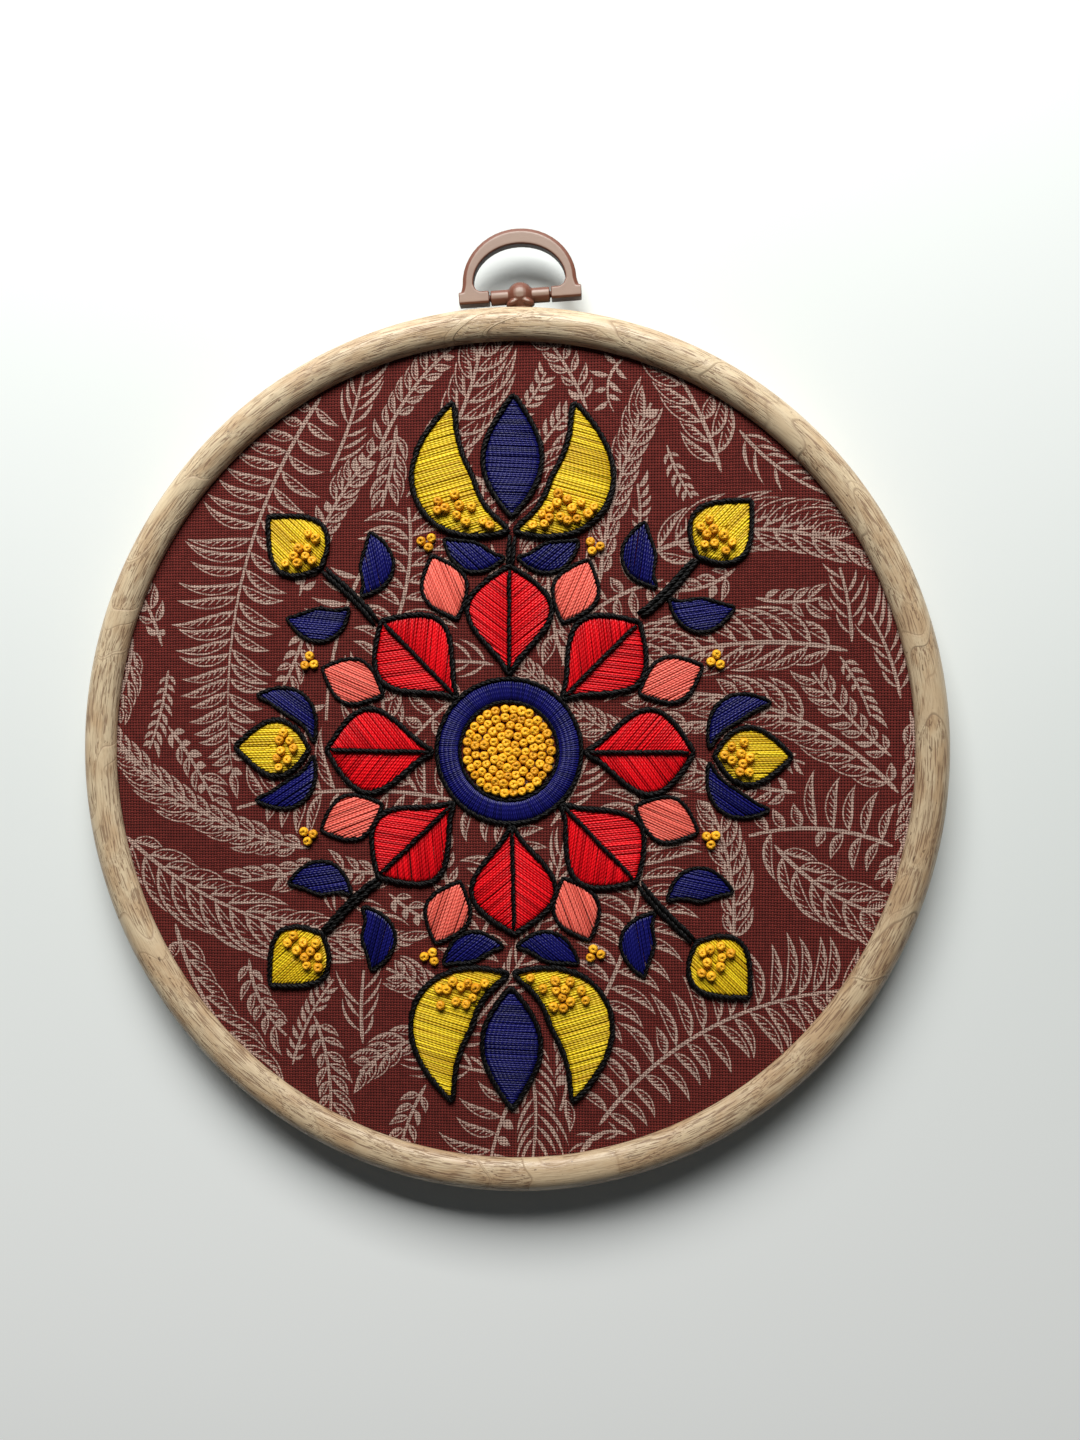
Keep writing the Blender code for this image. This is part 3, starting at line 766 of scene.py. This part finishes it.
def thread_material(name, tint, deep, gloss, shine):
    """Mercerised stranded cotton: silky, its plies fine slanting lines, each stitch its own tone, with painted shade on
    each thread's underside, near its ends and in its ply grooves, and a faint painted highlight on the ply crowns.
    """
    material, tree, shader = start_material(name, IOR=1.45, Roughness=gloss, Specular_IOR_Level=shine)
    shade, ply, top = (
        add_node(tree, "Attribute", attribute_name=key).outputs["Fac"] for key in ("shade", "ply", "top")
    )
    place = add_node(tree, "TexCoord").outputs["Object"]
    strand = math_node(tree, "SINE", math_node(tree, "MULTIPLY", ply, math.tau * 2))
    fibre = add_node(tree, "TexNoise", {"Vector": place, "Scale": 3500.0, "Detail": 2.0}).outputs["Fac"]
    relief = math_node(tree, "MULTIPLY_ADD", strand, 0.5, fibre)
    # Painted shade: the tube's underside, where top is low, and stitch ends, where shade is lowered, go to the deep
    # colour; ply grooves dim too.
    tone_and_painted_shade = math_node(tree, "MULTIPLY", ramp(tree, shade, -0.3, 0.9, 0.42, 1.1), ramp(tree, top, -0.6, 0.7, 0.0, 1.0))
    tone_and_painted_shade_in_plies = math_node(tree, "MULTIPLY", tone_and_painted_shade, ramp(tree, relief, -0.1, 0.7, 0.74, 1.06), clamp=True)
    tree.links.new(blend_colours(tree, tone_and_painted_shade_in_plies, deep, tuple(tint)), shader.inputs["Base Color"])
    bump = add_node(tree, "Bump", {"Height": relief, "Strength": 0.7, "Distance": 0.07 * MM})
    tree.links.new(bump.outputs[0], shader.inputs["Normal"])
    return material


# The deep colour each thread is mixed towards: painted shade on its underside, between two stitches and near its ends,
# and the deeper stitches of its random tone
DEEP = {"red": "7C0208", "coral": "B83C30", "navy": "02041C", "yellow": "A46C08", "gold": "B46208", "black": "020202"}
THREAD_MATERIALS = {}


def thread_for(slot):
    """The material of a thread slot, made once."""
    if slot not in THREAD_MATERIALS:
        settings = bpy.context.scene.hoop_thread
        name = slot.removeprefix("thread_")
        gloss, shine = {"black": (0.55, 0.22), "navy": (0.38, 0.3)}.get(name, (0.42, 0.28))
        tint = getattr(settings, name)
        THREAD_MATERIALS[slot] = thread_material(f"stranded_cotton_{name}", tint, srgb(DEEP[name]), gloss, shine)
    return THREAD_MATERIALS[slot]


def pad_loops(node):
    """The outlines of a pad's flat underside, as closed polylines, longest first."""
    mesh = frame["nodes"][node].data
    low = min(v.co.z for v in mesh.vertices)
    keys = [tuple(round(c, 6) for c in v.co[:2]) for v in mesh.vertices]
    count = {}
    for face in mesh.polygons:
        if all(mesh.vertices[i].co.z < low + 1e-5 for i in face.vertices):
            ring = [keys[i] for i in face.vertices]
            for a, b in zip(ring, ring[1:] + ring[:1]):
                if (b, a) in count:
                    del count[(b, a)]
                else:
                    count[(a, b)] = True
    follow = dict(count)
    step = {a: b for a, b in follow}
    loops = []
    while step:
        start = next(iter(step))
        loop = [start]
        while loop[-1] in step:
            nxt = step.pop(loop[-1])
            if nxt == start:
                break
            loop.append(nxt)
        loops.append(np.array(loop))
    loops.sort(key=lambda loop: -np.abs(signed_area(loop)))
    return [loop if signed_area(loop) > 0 else loop[::-1] for loop in loops]


def signed_area(loop):
    x, y = loop[:, 0], loop[:, 1]
    return 0.5 * float(np.sum(x * np.roll(y, -1) - np.roll(x, -1) * y))


def smooth_loop(loop, parts=5, corner=50):
    """The closed outline as a fair curve that keeps its points where it turns sharply."""
    count = len(loop)
    ahead = np.roll(loop, -1, 0) - loop
    behind = loop - np.roll(loop, 1, 0)
    turn = np.degrees(np.abs(np.arctan2(np.cross(behind, ahead), (behind * ahead).sum(1))))
    sharp = turn > corner
    out = []
    for i in range(count):
        k = (i + 1) % count
        leave = ahead[i] if sharp[i] else (ahead[i] + behind[i]) / 2
        arrive = behind[k] if sharp[k] else (ahead[k] + behind[k]) / 2
        for t in np.arange(parts) / parts:
            out.append(
                (2 * t**3 - 3 * t**2 + 1) * loop[i] + (t**3 - 2 * t**2 + t) * leave
                + (3 * t**2 - 2 * t**3) * loop[k] + (t**3 - t**2) * arrive
            )
    return np.array(out)


def grown(loop, margin):
    """The outline moved outwards by a margin."""
    ahead = np.roll(loop, -1, 0) - np.roll(loop, 1, 0)
    ahead /= np.linalg.norm(ahead, axis=1)[:, None] + 1e-12
    return loop + np.stack([ahead[:, 1], -ahead[:, 0]], 1) * margin


def distance_to(points, loop):
    """Distance from each point to the nearest side of the outline."""
    start, end = loop, np.roll(loop, -1, 0)
    along = end - start
    share = ((points[:, None] - start) * along).sum(2) / ((along**2).sum(1) + 1e-18)
    nearest = start + along * np.clip(share, 0, 1)[..., None]
    return np.linalg.norm(points[:, None] - nearest, axis=2).min(1)


def tip_to_tip(loop):
    """The outline's points nearest to and furthest from the hoop's centre."""
    away = np.linalg.norm((loop - CENTRE) / (1, OVAL), axis=1)
    return loop[away.argmin()], loop[away.argmax()]


# A run longer than this is filled by long and short stitches, as is done by hand
LONGEST_STITCH = 12.5 * MM


def satin_stitch(threads, rng, start, end, loop, settings):
    """One satin stitch: it goes down at both ends, through the cloth or between the stitches beside it."""
    run = end - start
    reach = np.linalg.norm(run)
    if reach < 0.5 * MM:
        return
    ahead = run / reach
    across = np.array([ahead[1], -ahead[0]])
    end_steps = [0, 0.16 * MM, 0.5 * MM]
    middle = np.linspace(0.9 * MM, reach - 0.9 * MM, max(2, int(reach / (2.5 * MM)))) if reach > 2.2 * MM else []
    places = [s for s in end_steps if s < reach / 2]
    places = np.array(places + list(middle) + [reach - s for s in places[::-1]])
    sway = rng.uniform(-0.06, 0.06) * MM * np.sin(math.pi * places / reach)
    spots = start + ahead * places[:, None] + across * sway[:, None]
    inside = distance_to(spots, loop)
    rise = np.sqrt(1 - (1 - np.clip(inside / (1.15 * MM), 0, 1)) ** 2)
    from_end = np.minimum(places, reach - places)
    lift = settings.loft * rng.uniform(0.80, 1.14)
    height = CLOTH_FACE + lift * rise * np.clip(0.35 + from_end / (0.8 * MM), 0, 1) - 0.05 * MM
    at_edge = inside[[0, -1]] < 0.4 * MM
    height[[0, -1]] = np.where(at_edge, CLOTH_FACE - 0.12 * MM, height[[0, -1]] - 0.3 * MM)
    path = np.column_stack([spots, height])
    radii = settings.radius * rng.uniform(0.88, 1.1) * np.clip(0.74 + from_end / (1.6 * MM), 0, 1)
    # Each stitch's random tone, lowered towards its ends as painted shade where it goes down into the cloth.
    shade = rng.random() - 0.55 * np.clip(1 - from_end / (1.4 * MM), 0, 1)
    threads.add(path, radii, shade, across)


def fill_satin(threads, rng, loop, heading, settings):
    """Rows of satin stitches at a heading, each run between the outline's two sides."""
    turn = np.array([[math.cos(heading), math.sin(heading)], [-math.sin(heading), math.cos(heading)]])
    flat = loop @ turn.T
    low, high = flat[:, 1].min(), flat[:, 1].max()
    level = low + settings.pitch * 0.6
    while level < high - settings.pitch * 0.3:
        nearby, following = flat, np.roll(flat, -1, 0)
        crossing = (nearby[:, 1] - level) * (following[:, 1] - level) < 0
        a, b = nearby[crossing], following[crossing]
        xs = np.sort(a[:, 0] + (level - a[:, 1]) / (b[:, 1] - a[:, 1]) * (b[:, 0] - a[:, 0]))
        for x0, x1 in zip(xs[::2], xs[1::2]):
            parts = max(1, math.ceil((x1 - x0) / LONGEST_STITCH))
            shares = [0.0, *((k + rng.uniform(-0.3, 0.3)) / parts for k in range(1, parts)), 1.0]
            for low_share, high_share in zip(shares, shares[1:]):
                jitter = [rng.uniform(-0.10, 0.10) * MM for _ in range(4)]
                x_start = x0 + (x1 - x0) * low_share - 0.15 * MM + jitter[0]
                x_end = x0 + (x1 - x0) * high_share + 0.15 * MM + jitter[1]
                start = np.array([x_start, level + jitter[2]]) @ turn
                end = np.array([x_end, level + jitter[3]]) @ turn
                satin_stitch(threads, rng, start, end, loop, settings)
        level += settings.pitch * rng.uniform(0.88, 1.08)


def fill_band(threads, rng, outer, inner, settings):
    """Satin stitches that run outwards across a round band."""
    centre = outer.mean(0)
    wide = np.linalg.norm(outer - centre, axis=1).mean()
    narrow = np.linalg.norm(inner - centre, axis=1).mean()
    count = int(math.tau * (wide + narrow) / 2 / settings.pitch * 1.12)
    both = np.vstack([outer, inner])
    for i in range(count):
        angle = math.tau * i / count + rng.uniform(-0.004, 0.004)
        spoke = np.array([math.cos(angle), math.sin(angle)])
        slant = np.array([math.cos(angle + 0.03), math.sin(angle + 0.03)])
        start = centre + spoke * (narrow - rng.uniform(0, 0.1) * MM)
        end = centre + slant * (wide + rng.uniform(0, 0.12) * MM)
        run_steps = distance_band(start, end, outer, inner)
        satin_band_stitch(threads, rng, start, end, run_steps, settings)
    return both


def distance_band(start, end, outer, inner):
    places = np.array([0, 0.05, 0.16, 0.36, 0.64, 0.84, 0.95, 1])
    spots = start + (end - start) * places[:, None]
    return spots, np.minimum(distance_to(spots, outer), distance_to(spots, inner))


def satin_band_stitch(threads, rng, start, end, run_steps, settings):
    spots, inside = run_steps
    rise = np.sqrt(1 - (1 - np.clip(inside / (1.15 * MM), 0, 1)) ** 2)
    height = CLOTH_FACE + settings.loft * rng.uniform(0.93, 1.05) * rise - 0.05 * MM
    height[[0, -1]] = CLOTH_FACE - 0.12 * MM
    ahead = (end - start) / np.linalg.norm(end - start)
    radius = settings.radius * rng.uniform(0.92, 1.1)
    threads.add(np.column_stack([spots, height]), radius, rng.random(), np.array([ahead[1], -ahead[0]]))


# How the fields are stitched: along the field, or square to its length; the outline's thread radius
Field = namedtuple("Field", "direction outline")
FIELDS = {
    "petal": Field("fishbone", 0.42),
    "petal_tip": Field("along", 0.32),
    "leaf_right": Field("along", 0.30),
    "leaf_left": Field("along", 0.30),
    "side_right": Field("square", 0.45),
    "side_left": Field("square", 0.45),
    "middle": Field("square", 0.42),
    "drop": Field("along", 0.42),
}


# How far a petal's stitches slant from its vein
FISHBONE = math.radians(-52)


def halves(loop, base, tip):
    """The outline cut in two along the line from base to tip, its right half first."""
    first = int(np.linalg.norm(loop - base, axis=1).argmin())
    loop = np.roll(loop, -first, 0)
    last = int(np.linalg.norm(loop - tip, axis=1).argmin())
    return loop[: last + 1], np.vstack([loop[last:], loop[:1]])


def fields():
    """(node, kind, smoothed outline) of every leaf-shaped field."""
    for node in sorted(frame["nodes"]):
        kind = node.split("_", 2)[2] if node.count("_") >= 2 else ""
        if kind in FIELDS:
            yield node, kind, smooth_loop(pad_loops(node)[0])


class EMBROIDERY_OT_satin(bpy.types.Operator):
    """Fill every motif with satin stitches"""

    bl_idname = "embroidery.satin"
    bl_label = "Satin stitches"

    def execute(self, context):
        settings = context.scene.hoop_thread
        rng = random.Random(settings.seed)
        for node, kind, loop in fields():
            base, tip = tip_to_tip(loop)
            heading = math.atan2(*(tip - base)[::-1]) + rng.uniform(-0.05, 0.05)
            threads = Threads()
            if FIELDS[kind].direction == "fishbone":
                for half, slant in zip(halves(loop, base, tip), (FISHBONE, -FISHBONE)):
                    fill_satin(threads, rng, half, heading + slant, settings)
            elif FIELDS[kind].direction == "square":
                fill_satin(threads, rng, loop, heading + math.pi / 2, settings)
            else:
                fill_satin(threads, rng, loop, heading, settings)
            threads.piece(f"satin_{node}", thread_for(SLOT_OF[node]), SLOT_OF[node], [node])
        outer, inner = (smooth_loop(loop) for loop in pad_loops("centre_band"))
        threads = Threads()
        fill_band(threads, rng, outer, inner, settings)
        threads.piece("satin_centre_band", thread_for("thread_navy"), "thread_navy", ["centre_band"])
        return {"FINISHED"}


def evenly(line, spacing, closed):
    """Points spaced evenly along a polyline, and its length."""
    line = np.vstack([line, line[:1]]) if closed else np.asarray(line)
    lengths = np.append(0, np.cumsum(np.linalg.norm(np.diff(line, axis=0), axis=1)))
    count = max(2, round(lengths[-1] / spacing))
    places = np.linspace(0, lengths[-1], count + 1)
    return np.column_stack([np.interp(places, lengths, line[:, i]) for i in (0, 1)]), lengths[-1]


# A black thread's strands, and the length in which they go once round each other
STRANDS = 3
STRAND_TWIST = 3.4 * MM


def stem_stitch(threads, rng, line, radius, closed, level):
    """Stem stitch: short stitches that each start beside the one before, so that the line looks like a rope."""
    fine, total = evenly(line, 0.3 * MM, closed)
    if closed:
        fine = np.vstack([fine, fine[1:24]])
    side = sides_of(fine)
    stitch = 10.0 * radius
    advance = stitch * 0.52
    place = 0.0
    while place < total - (0 if closed else stitch * 0.5):
        reach = stitch * rng.uniform(0.9, 1.1)
        shares = np.linspace(0, 1, 9)
        at = np.clip((place + shares * reach) / (0.3 * MM), 0, len(fine) - 1)
        spots = np.column_stack([np.interp(at, np.arange(len(fine)), fine[:, i]) for i in (0, 1)])
        normal = np.column_stack([np.interp(at, np.arange(len(fine)), side[:, i]) for i in (0, 1)])
        offset = radius * (0.62 - 1.24 * shares) + rng.uniform(-0.06, 0.06) * MM
        height = level + radius * (0.55 + 0.75 * np.sin(math.pi * shares))
        height[[0, -1]] = level - 0.5 * radius
        girth = radius * rng.uniform(0.92, 1.08) * (0.55 + 0.5 * np.sin(math.pi * shares) ** 0.5)
        for strand in range(STRANDS):
            turn = math.tau * (strand / STRANDS + shares * reach / STRAND_TWIST) + place / MM
            aside = offset + girth * 0.56 * np.cos(turn)
            path = np.column_stack([spots + normal * aside[:, None], height + girth * 0.56 * np.sin(turn)])
            threads.add(path, girth * 0.58, rng.random())
        place += advance * rng.uniform(0.92, 1.08)


class EMBROIDERY_OT_outlines(bpy.types.Operator):
    """Outline the motifs and lay their stems and veins"""

    bl_idname = "embroidery.outlines"
    bl_label = "Black outlines"

    def execute(self, context):
        settings = context.scene.hoop_thread
        rng = random.Random(settings.seed + 1)
        black = thread_for("thread_black")
        groups = {}
        for node, kind, loop in fields():
            threads = groups.setdefault(node.split("_")[0], Threads(sides=5))
            radius = FIELDS[kind].outline * MM
            stem_stitch(threads, rng, grown(loop, radius * 0.9), radius, True, CLOTH_FACE)
            if kind == "petal":
                base, tip = tip_to_tip(loop)
                vein = np.linspace(base, base + (tip - base) * 0.97, 12)
                stem_stitch(threads, rng, vein, 0.34 * MM, False, CLOTH_FACE + settings.loft)
        centre = groups.setdefault("centre", Threads(sides=5))
        outer, inner = (smooth_loop(loop) for loop in pad_loops("centre_band"))
        stem_stitch(centre, rng, grown(outer, 0.35 * MM), 0.36 * MM, True, CLOTH_FACE)
        stem_stitch(centre, rng, grown(inner, -0.3 * MM), 0.3 * MM, True, CLOTH_FACE)
        for name, threads in groups.items():
            threads.piece(f"outline_{name}", black, "thread_black")
        stems = Threads(sides=5)
        nodes = [node for node in sorted(frame["nodes"]) if node.endswith("_stem")]
        for node in nodes:
            loop = pad_loops(node)[0]
            half = len(loop) // 2
            base, tip = tip_to_tip(loop)
            first = int(np.linalg.norm(loop - base, axis=1).argmin())
            loop = np.roll(loop, -first, 0)
            one, other = loop[:half], loop[half:][::-1]
            middle = (one + other) / 2
            middle = middle if np.linalg.norm(middle[0] - base) < np.linalg.norm(middle[-1] - base) else middle[::-1]
            for shift in (-0.45, 0.45):
                row = middle + sides_of(middle) * shift * MM
                stem_stitch(stems, rng, row, 0.42 * MM, False, CLOTH_FACE)
        stems.piece("stems", black, "thread_black", nodes)
        return {"FINISHED"}


# Knots beyond a coral tip: millimetres outwards and to the side
KNOT_SPRIG = [(2.0, 0.0), (3.4, 1.1), (3.5, -0.9)]


def french_knot(threads, rng, spot, size, level):
    """A thread wound about itself in a small dimpled bead."""
    thread = size * 0.43
    steps = 26
    t = np.linspace(0, 1, steps)
    angle = rng.uniform(0, math.tau) + math.tau * 2.0 * t
    wind = (size - thread) * np.interp(t, [0, 0.5, 0.9, 1], [1.0, 0.97, 0.80, 0.42])
    height = level + thread * np.interp(t, [0, 0.5, 0.9, 1], [0.7, 1.25, 1.95, 1.3])
    lean = np.array([rng.uniform(-0.16, 0.16), rng.uniform(-0.16, 0.16)]) * size
    path = np.column_stack([spot[0] + wind * np.cos(angle), spot[1] + wind * np.sin(angle), height])
    path[:, :2] += lean * t[:, None]
    threads.add(path, thread * (1 - 0.12 * t), rng.random(), twist=1.1 * MM)


def centre_spots(settings):
    """Close rings of knots over the centre disc."""
    rng = random.Random(settings.seed + 2)
    spacing = settings.knot_radius * 1.66
    disc = pad_loops("centre_knots")[0]
    middle = disc.mean(0)
    wide = np.linalg.norm(disc - middle, axis=1).mean() - settings.knot_radius * 0.7
    rings = round(wide / (spacing * 0.93))
    yield middle
    for ring in range(1, rings + 1):
        away = wide * ring / rings
        count = int(math.tau * away / spacing)
        first = rng.uniform(0, math.tau)
        for i in range(count):
            angle = first + math.tau * (i + rng.uniform(-0.12, 0.12)) / count
            reach = away + rng.uniform(-0.14, 0.10) * MM
            yield middle + np.array([math.cos(angle), math.sin(angle)]) * reach


def drift_spots(rng, loop, low, high, margin, spacing):
    """Knots thrown on a field between two shares of its length, clear of its edge and of each other."""
    base, tip = tip_to_tip(loop)
    along = (tip - base) / np.linalg.norm(tip - base)
    reach = (loop - base) @ along
    spots = []
    for _ in range(400):
        spot = np.array([rng.uniform(loop[:, i].min(), loop[:, i].max()) for i in (0, 1)])
        share = (spot - base) @ along / reach.max()
        if not low < share < high or not inside_loop(spot, loop):
            continue
        if distance_to(spot[None], loop)[0] < margin:
            continue
        if all(np.linalg.norm(spot - other) > spacing for other in spots):
            spots.append(spot)
    return spots


def inside_loop(spot, loop):
    """Whether the outline goes round the spot."""
    start, end = loop - spot, np.roll(loop, -1, 0) - spot
    turn = np.arctan2(start[:, 0] * end[:, 1] - start[:, 1] * end[:, 0], (start * end).sum(1))
    return abs(turn.sum()) > math.pi


class EMBROIDERY_OT_knots(bpy.types.Operator):
    """Stitch the French knots"""

    bl_idname = "embroidery.knots"
    bl_label = "French knots"

    def execute(self, context):
        settings = context.scene.hoop_thread
        rng = random.Random(settings.seed + 3)
        threads = Threads(sides=8)
        size = settings.knot_radius
        for spot in centre_spots(settings):
            french_knot(threads, rng, spot, size * rng.uniform(0.88, 1.06), CLOTH_FACE + 0.1 * MM * rng.random())
        threads.piece("knots_centre", thread_for("thread_gold"), "thread_gold", ["centre_knots"])

        accents = Threads(sides=8)
        for node, kind, loop in fields():
            on_top = CLOTH_FACE + settings.loft + 0.7 * settings.radius
            share = {"side_right": (0.02, 0.34), "side_left": (0.02, 0.34), "drop": (0.0, 0.45)}.get(kind)
            if share:
                for spot in drift_spots(rng, loop, *share, size * 1.2, size * 1.55):
                    french_knot(accents, rng, spot, size * rng.uniform(0.86, 1.04), on_top)
            if kind == "petal_tip":
                base, tip = tip_to_tip(loop)
                out = (tip - CENTRE) / np.linalg.norm(tip - CENTRE)
                side = np.array([out[1], -out[0]])
                for ahead, aside in KNOT_SPRIG:
                    french_knot(accents, rng, tip + (out * ahead + side * aside) * MM, size * 0.95, CLOTH_FACE)
        accents.piece("knots_accents", thread_for("thread_gold"), "thread_gold")
        return {"FINISHED"}


# Hanger


def hanger_material(settings):
    """Injection-moulded brown ABS: satin, a little uneven in tone, with painted shade that makes its sides and
    undersides a deeper brown than its upward face.
    """
    material, tree, shader = start_material("moulded_abs_brown", Roughness=0.42, IOR=1.53)
    place = add_node(tree, "TexCoord").outputs["Object"]
    cloud = add_node(tree, "TexNoise", {"Vector": place, "Scale": 260.0, "Detail": 4.0}).outputs["Fac"]
    face = blend_colours(tree, cloud, tuple(settings.brown), srgb("8E7060"))
    # Painted shade: only the upward face keeps the pale brown; sides and undersides get a deep brown, deepest where
    # they turn furthest down.
    facing = add_node(tree, "SeparateXYZ", {0: add_node(tree, "TexCoord").outputs["Normal"]}).outputs[2]
    turned = ramp(tree, facing, 0.86, 0.995)
    sides = blend_colours(tree, ramp(tree, facing, 0.1, 0.7), srgb("341C15"), srgb("774634"))
    tree.links.new(blend_colours(tree, turned, sides, face), shader.inputs["Base Color"])
    gloss = add_node(tree, "MapRange", {"Value": cloud, "From Min": 0.3, "From Max": 0.7, "To Min": 0.36,
                                        "To Max": 0.52}).outputs[0]
    tree.links.new(gloss, shader.inputs["Roughness"])
    grit = add_node(tree, "TexNoise", {"Vector": place, "Scale": 3000.0, "Detail": 2.0}).outputs["Fac"]
    bump = add_node(tree, "Bump", {"Height": grit, "Strength": 0.25, "Distance": 0.04 * MM})
    tree.links.new(bump.outputs[0], shader.inputs["Normal"])
    return material


class EMBROIDERY_OT_hanger(bpy.types.Operator):
    """Make the hanger's two mouldings, with softened edges"""

    bl_idname = "embroidery.hanger"
    bl_label = "Hanger"

    def execute(self, context):
        settings = context.scene.hoop_hanger
        plastic = hanger_material(settings)
        for node, name, body in (("hanger_base", "hanger_barrel", HOOP), ("hanger_bail", "hanger_loop", HANGER)):
            mesh = frame["nodes"][node].data.copy()
            mesh.name = name
            mesh.materials.clear()
            mesh.materials.append(plastic)
            piece = bpy.data.objects.new(name, mesh)
            bpy.context.scene.collection.objects.link(piece)
            fine = piece.modifiers.new("fine", "REMESH")
            fine.mode = "VOXEL"
            fine.voxel_size = settings.voxel
            fine.use_smooth_shade = True
            soft = piece.modifiers.new("soft", "SMOOTH")
            soft.factor = 0.5
            soft.iterations = 5
            depsgraph = bpy.context.evaluated_depsgraph_get()
            solid = bpy.data.meshes.new_from_object(piece.evaluated_get(depsgraph))
            piece.modifiers.clear()
            piece.data = solid
            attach(piece, body)
            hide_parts(node)
        return {"FINISHED"}


# Stage

# Camera place from the hoop's centre, in millimetres, and its turn from straight down, in degrees
CAMERA_PLACE = (17.03, 8.38, 220.2)
CAMERA_YAW = 3.0
CAMERA_PITCH = -0.68
IMAGE_HEIGHT = 1440
SENSOR = 36.0


def floor_material(settings):
    """Smooth painted board: matt, pale, with a faint cloudiness, and painted light that makes it paler towards its near
    edge.
    """
    material, tree, shader = start_material("painted_board_pale", Roughness=0.7, IOR=1.5)
    place = add_node(tree, "TexCoord").outputs["Object"]
    cloud = add_node(tree, "TexNoise", {"Vector": place, "Scale": 6.0, "Detail": 2.0}).outputs["Fac"]
    # Painted light: the board's tone rises towards its near edge, where the window's light is weaker.
    near = math_node(tree, "MULTIPLY", add_node(tree, "SeparateXYZ", {0: place}).outputs[1], -1.0)
    tone = blend_colours(tree, cloud, tuple(settings.floor), srgb("E3E9E7"))
    tone = blend_colours(tree, ramp(tree, near, 0.0, 0.14), tone, srgb("F7FAF9"))
    tree.links.new(tone, shader.inputs["Base Color"])
    return material


def area_light(name, place, target, width, height, power, tint):
    data = bpy.data.lights.new(name, "AREA")
    data.shape = "RECTANGLE"
    data.size = width
    data.size_y = height
    data.energy = power
    data.color = tint
    light = bpy.data.objects.new(name, data)
    bpy.context.scene.collection.objects.link(light)
    light.location = place
    light.rotation_euler = (Vector(target) - Vector(place)).to_track_quat("-Z", "Y").to_euler()


class EMBROIDERY_OT_stage(bpy.types.Operator):
    """Make the floor, the light and the camera"""

    bl_idname = "embroidery.stage"
    bl_label = "Stage"

    def execute(self, context):
        settings = context.scene.hoop_stage
        half = 3.0
        mesh = bpy.data.meshes.new("floor")
        mesh.from_pydata([(-half, -half, 0), (half, -half, 0), (half, half, 0), (-half, half, 0)], [], [(0, 1, 2, 3)])
        mesh.materials.append(floor_material(settings))
        floor = bpy.data.objects.new("floor", mesh)
        context.scene.collection.objects.link(floor)

        area_light("window", (-0.10, 0.66, 0.49), (-0.20, 0.25, 0), 0.66, 0.36, 12.2, (1.0, 0.99, 0.97))
        world = bpy.data.worlds.new("room")
        world.use_nodes = True
        world.node_tree.nodes["Background"].inputs[0].default_value = (0.90, 0.96, 1.0, 1)
        world.node_tree.nodes["Background"].inputs[1].default_value = 0.04
        context.scene.world = world
        context.scene.view_settings.view_transform = "Standard"

        data = bpy.data.cameras.new("camera")
        data.sensor_fit = "VERTICAL"
        data.sensor_height = SENSOR
        data.lens = settings.focal_px / IMAGE_HEIGHT * SENSOR
        data.clip_start = 0.01
        camera = bpy.data.objects.new("camera", data)
        context.scene.collection.objects.link(camera)
        place = Vector(CAMERA_PLACE) * MM + Vector((CENTRE[0], CENTRE[1], 0))
        yaw = Matrix.Rotation(math.radians(CAMERA_YAW), 4, "Y")
        pitch = Matrix.Rotation(math.radians(CAMERA_PITCH), 4, "X")
        camera.matrix_world = Matrix.Translation(place) @ yaw @ pitch
        context.scene.camera = camera
        return {"FINISHED"}


class EMBROIDERY_PT_panel(bpy.types.Panel):
    """Lists the operators that make the hoop"""

    bl_label = "Hoop embroidery"
    bl_idname = "EMBROIDERY_PT_panel"
    bl_space_type = "VIEW_3D"
    bl_region_type = "UI"
    bl_category = "Embroidery"

    def draw(self, context):
        for operator in OPERATORS:
            self.layout.operator(operator.bl_idname)


OPERATORS = (
    EMBROIDERY_OT_rings,
    EMBROIDERY_OT_cotton,
    EMBROIDERY_OT_satin,
    EMBROIDERY_OT_outlines,
    EMBROIDERY_OT_knots,
    EMBROIDERY_OT_hanger,
    EMBROIDERY_OT_stage,
)
CLASSES = (*GROUPS.values(), *OPERATORS, EMBROIDERY_PT_panel)


def register():
    for cls in CLASSES:
        bpy.utils.register_class(cls)
    for name, group in GROUPS.items():
        setattr(bpy.types.Scene, name, PointerProperty(type=group))


def unregister():
    for name in GROUPS:
        delattr(bpy.types.Scene, name)
    for cls in reversed(CLASSES):
        bpy.utils.unregister_class(cls)


def main():
    register()
    for operator in OPERATORS:
        category, name = operator.bl_idname.split(".")
        getattr(getattr(bpy.ops, category), name)()


if __name__ == "__main__":
    main()
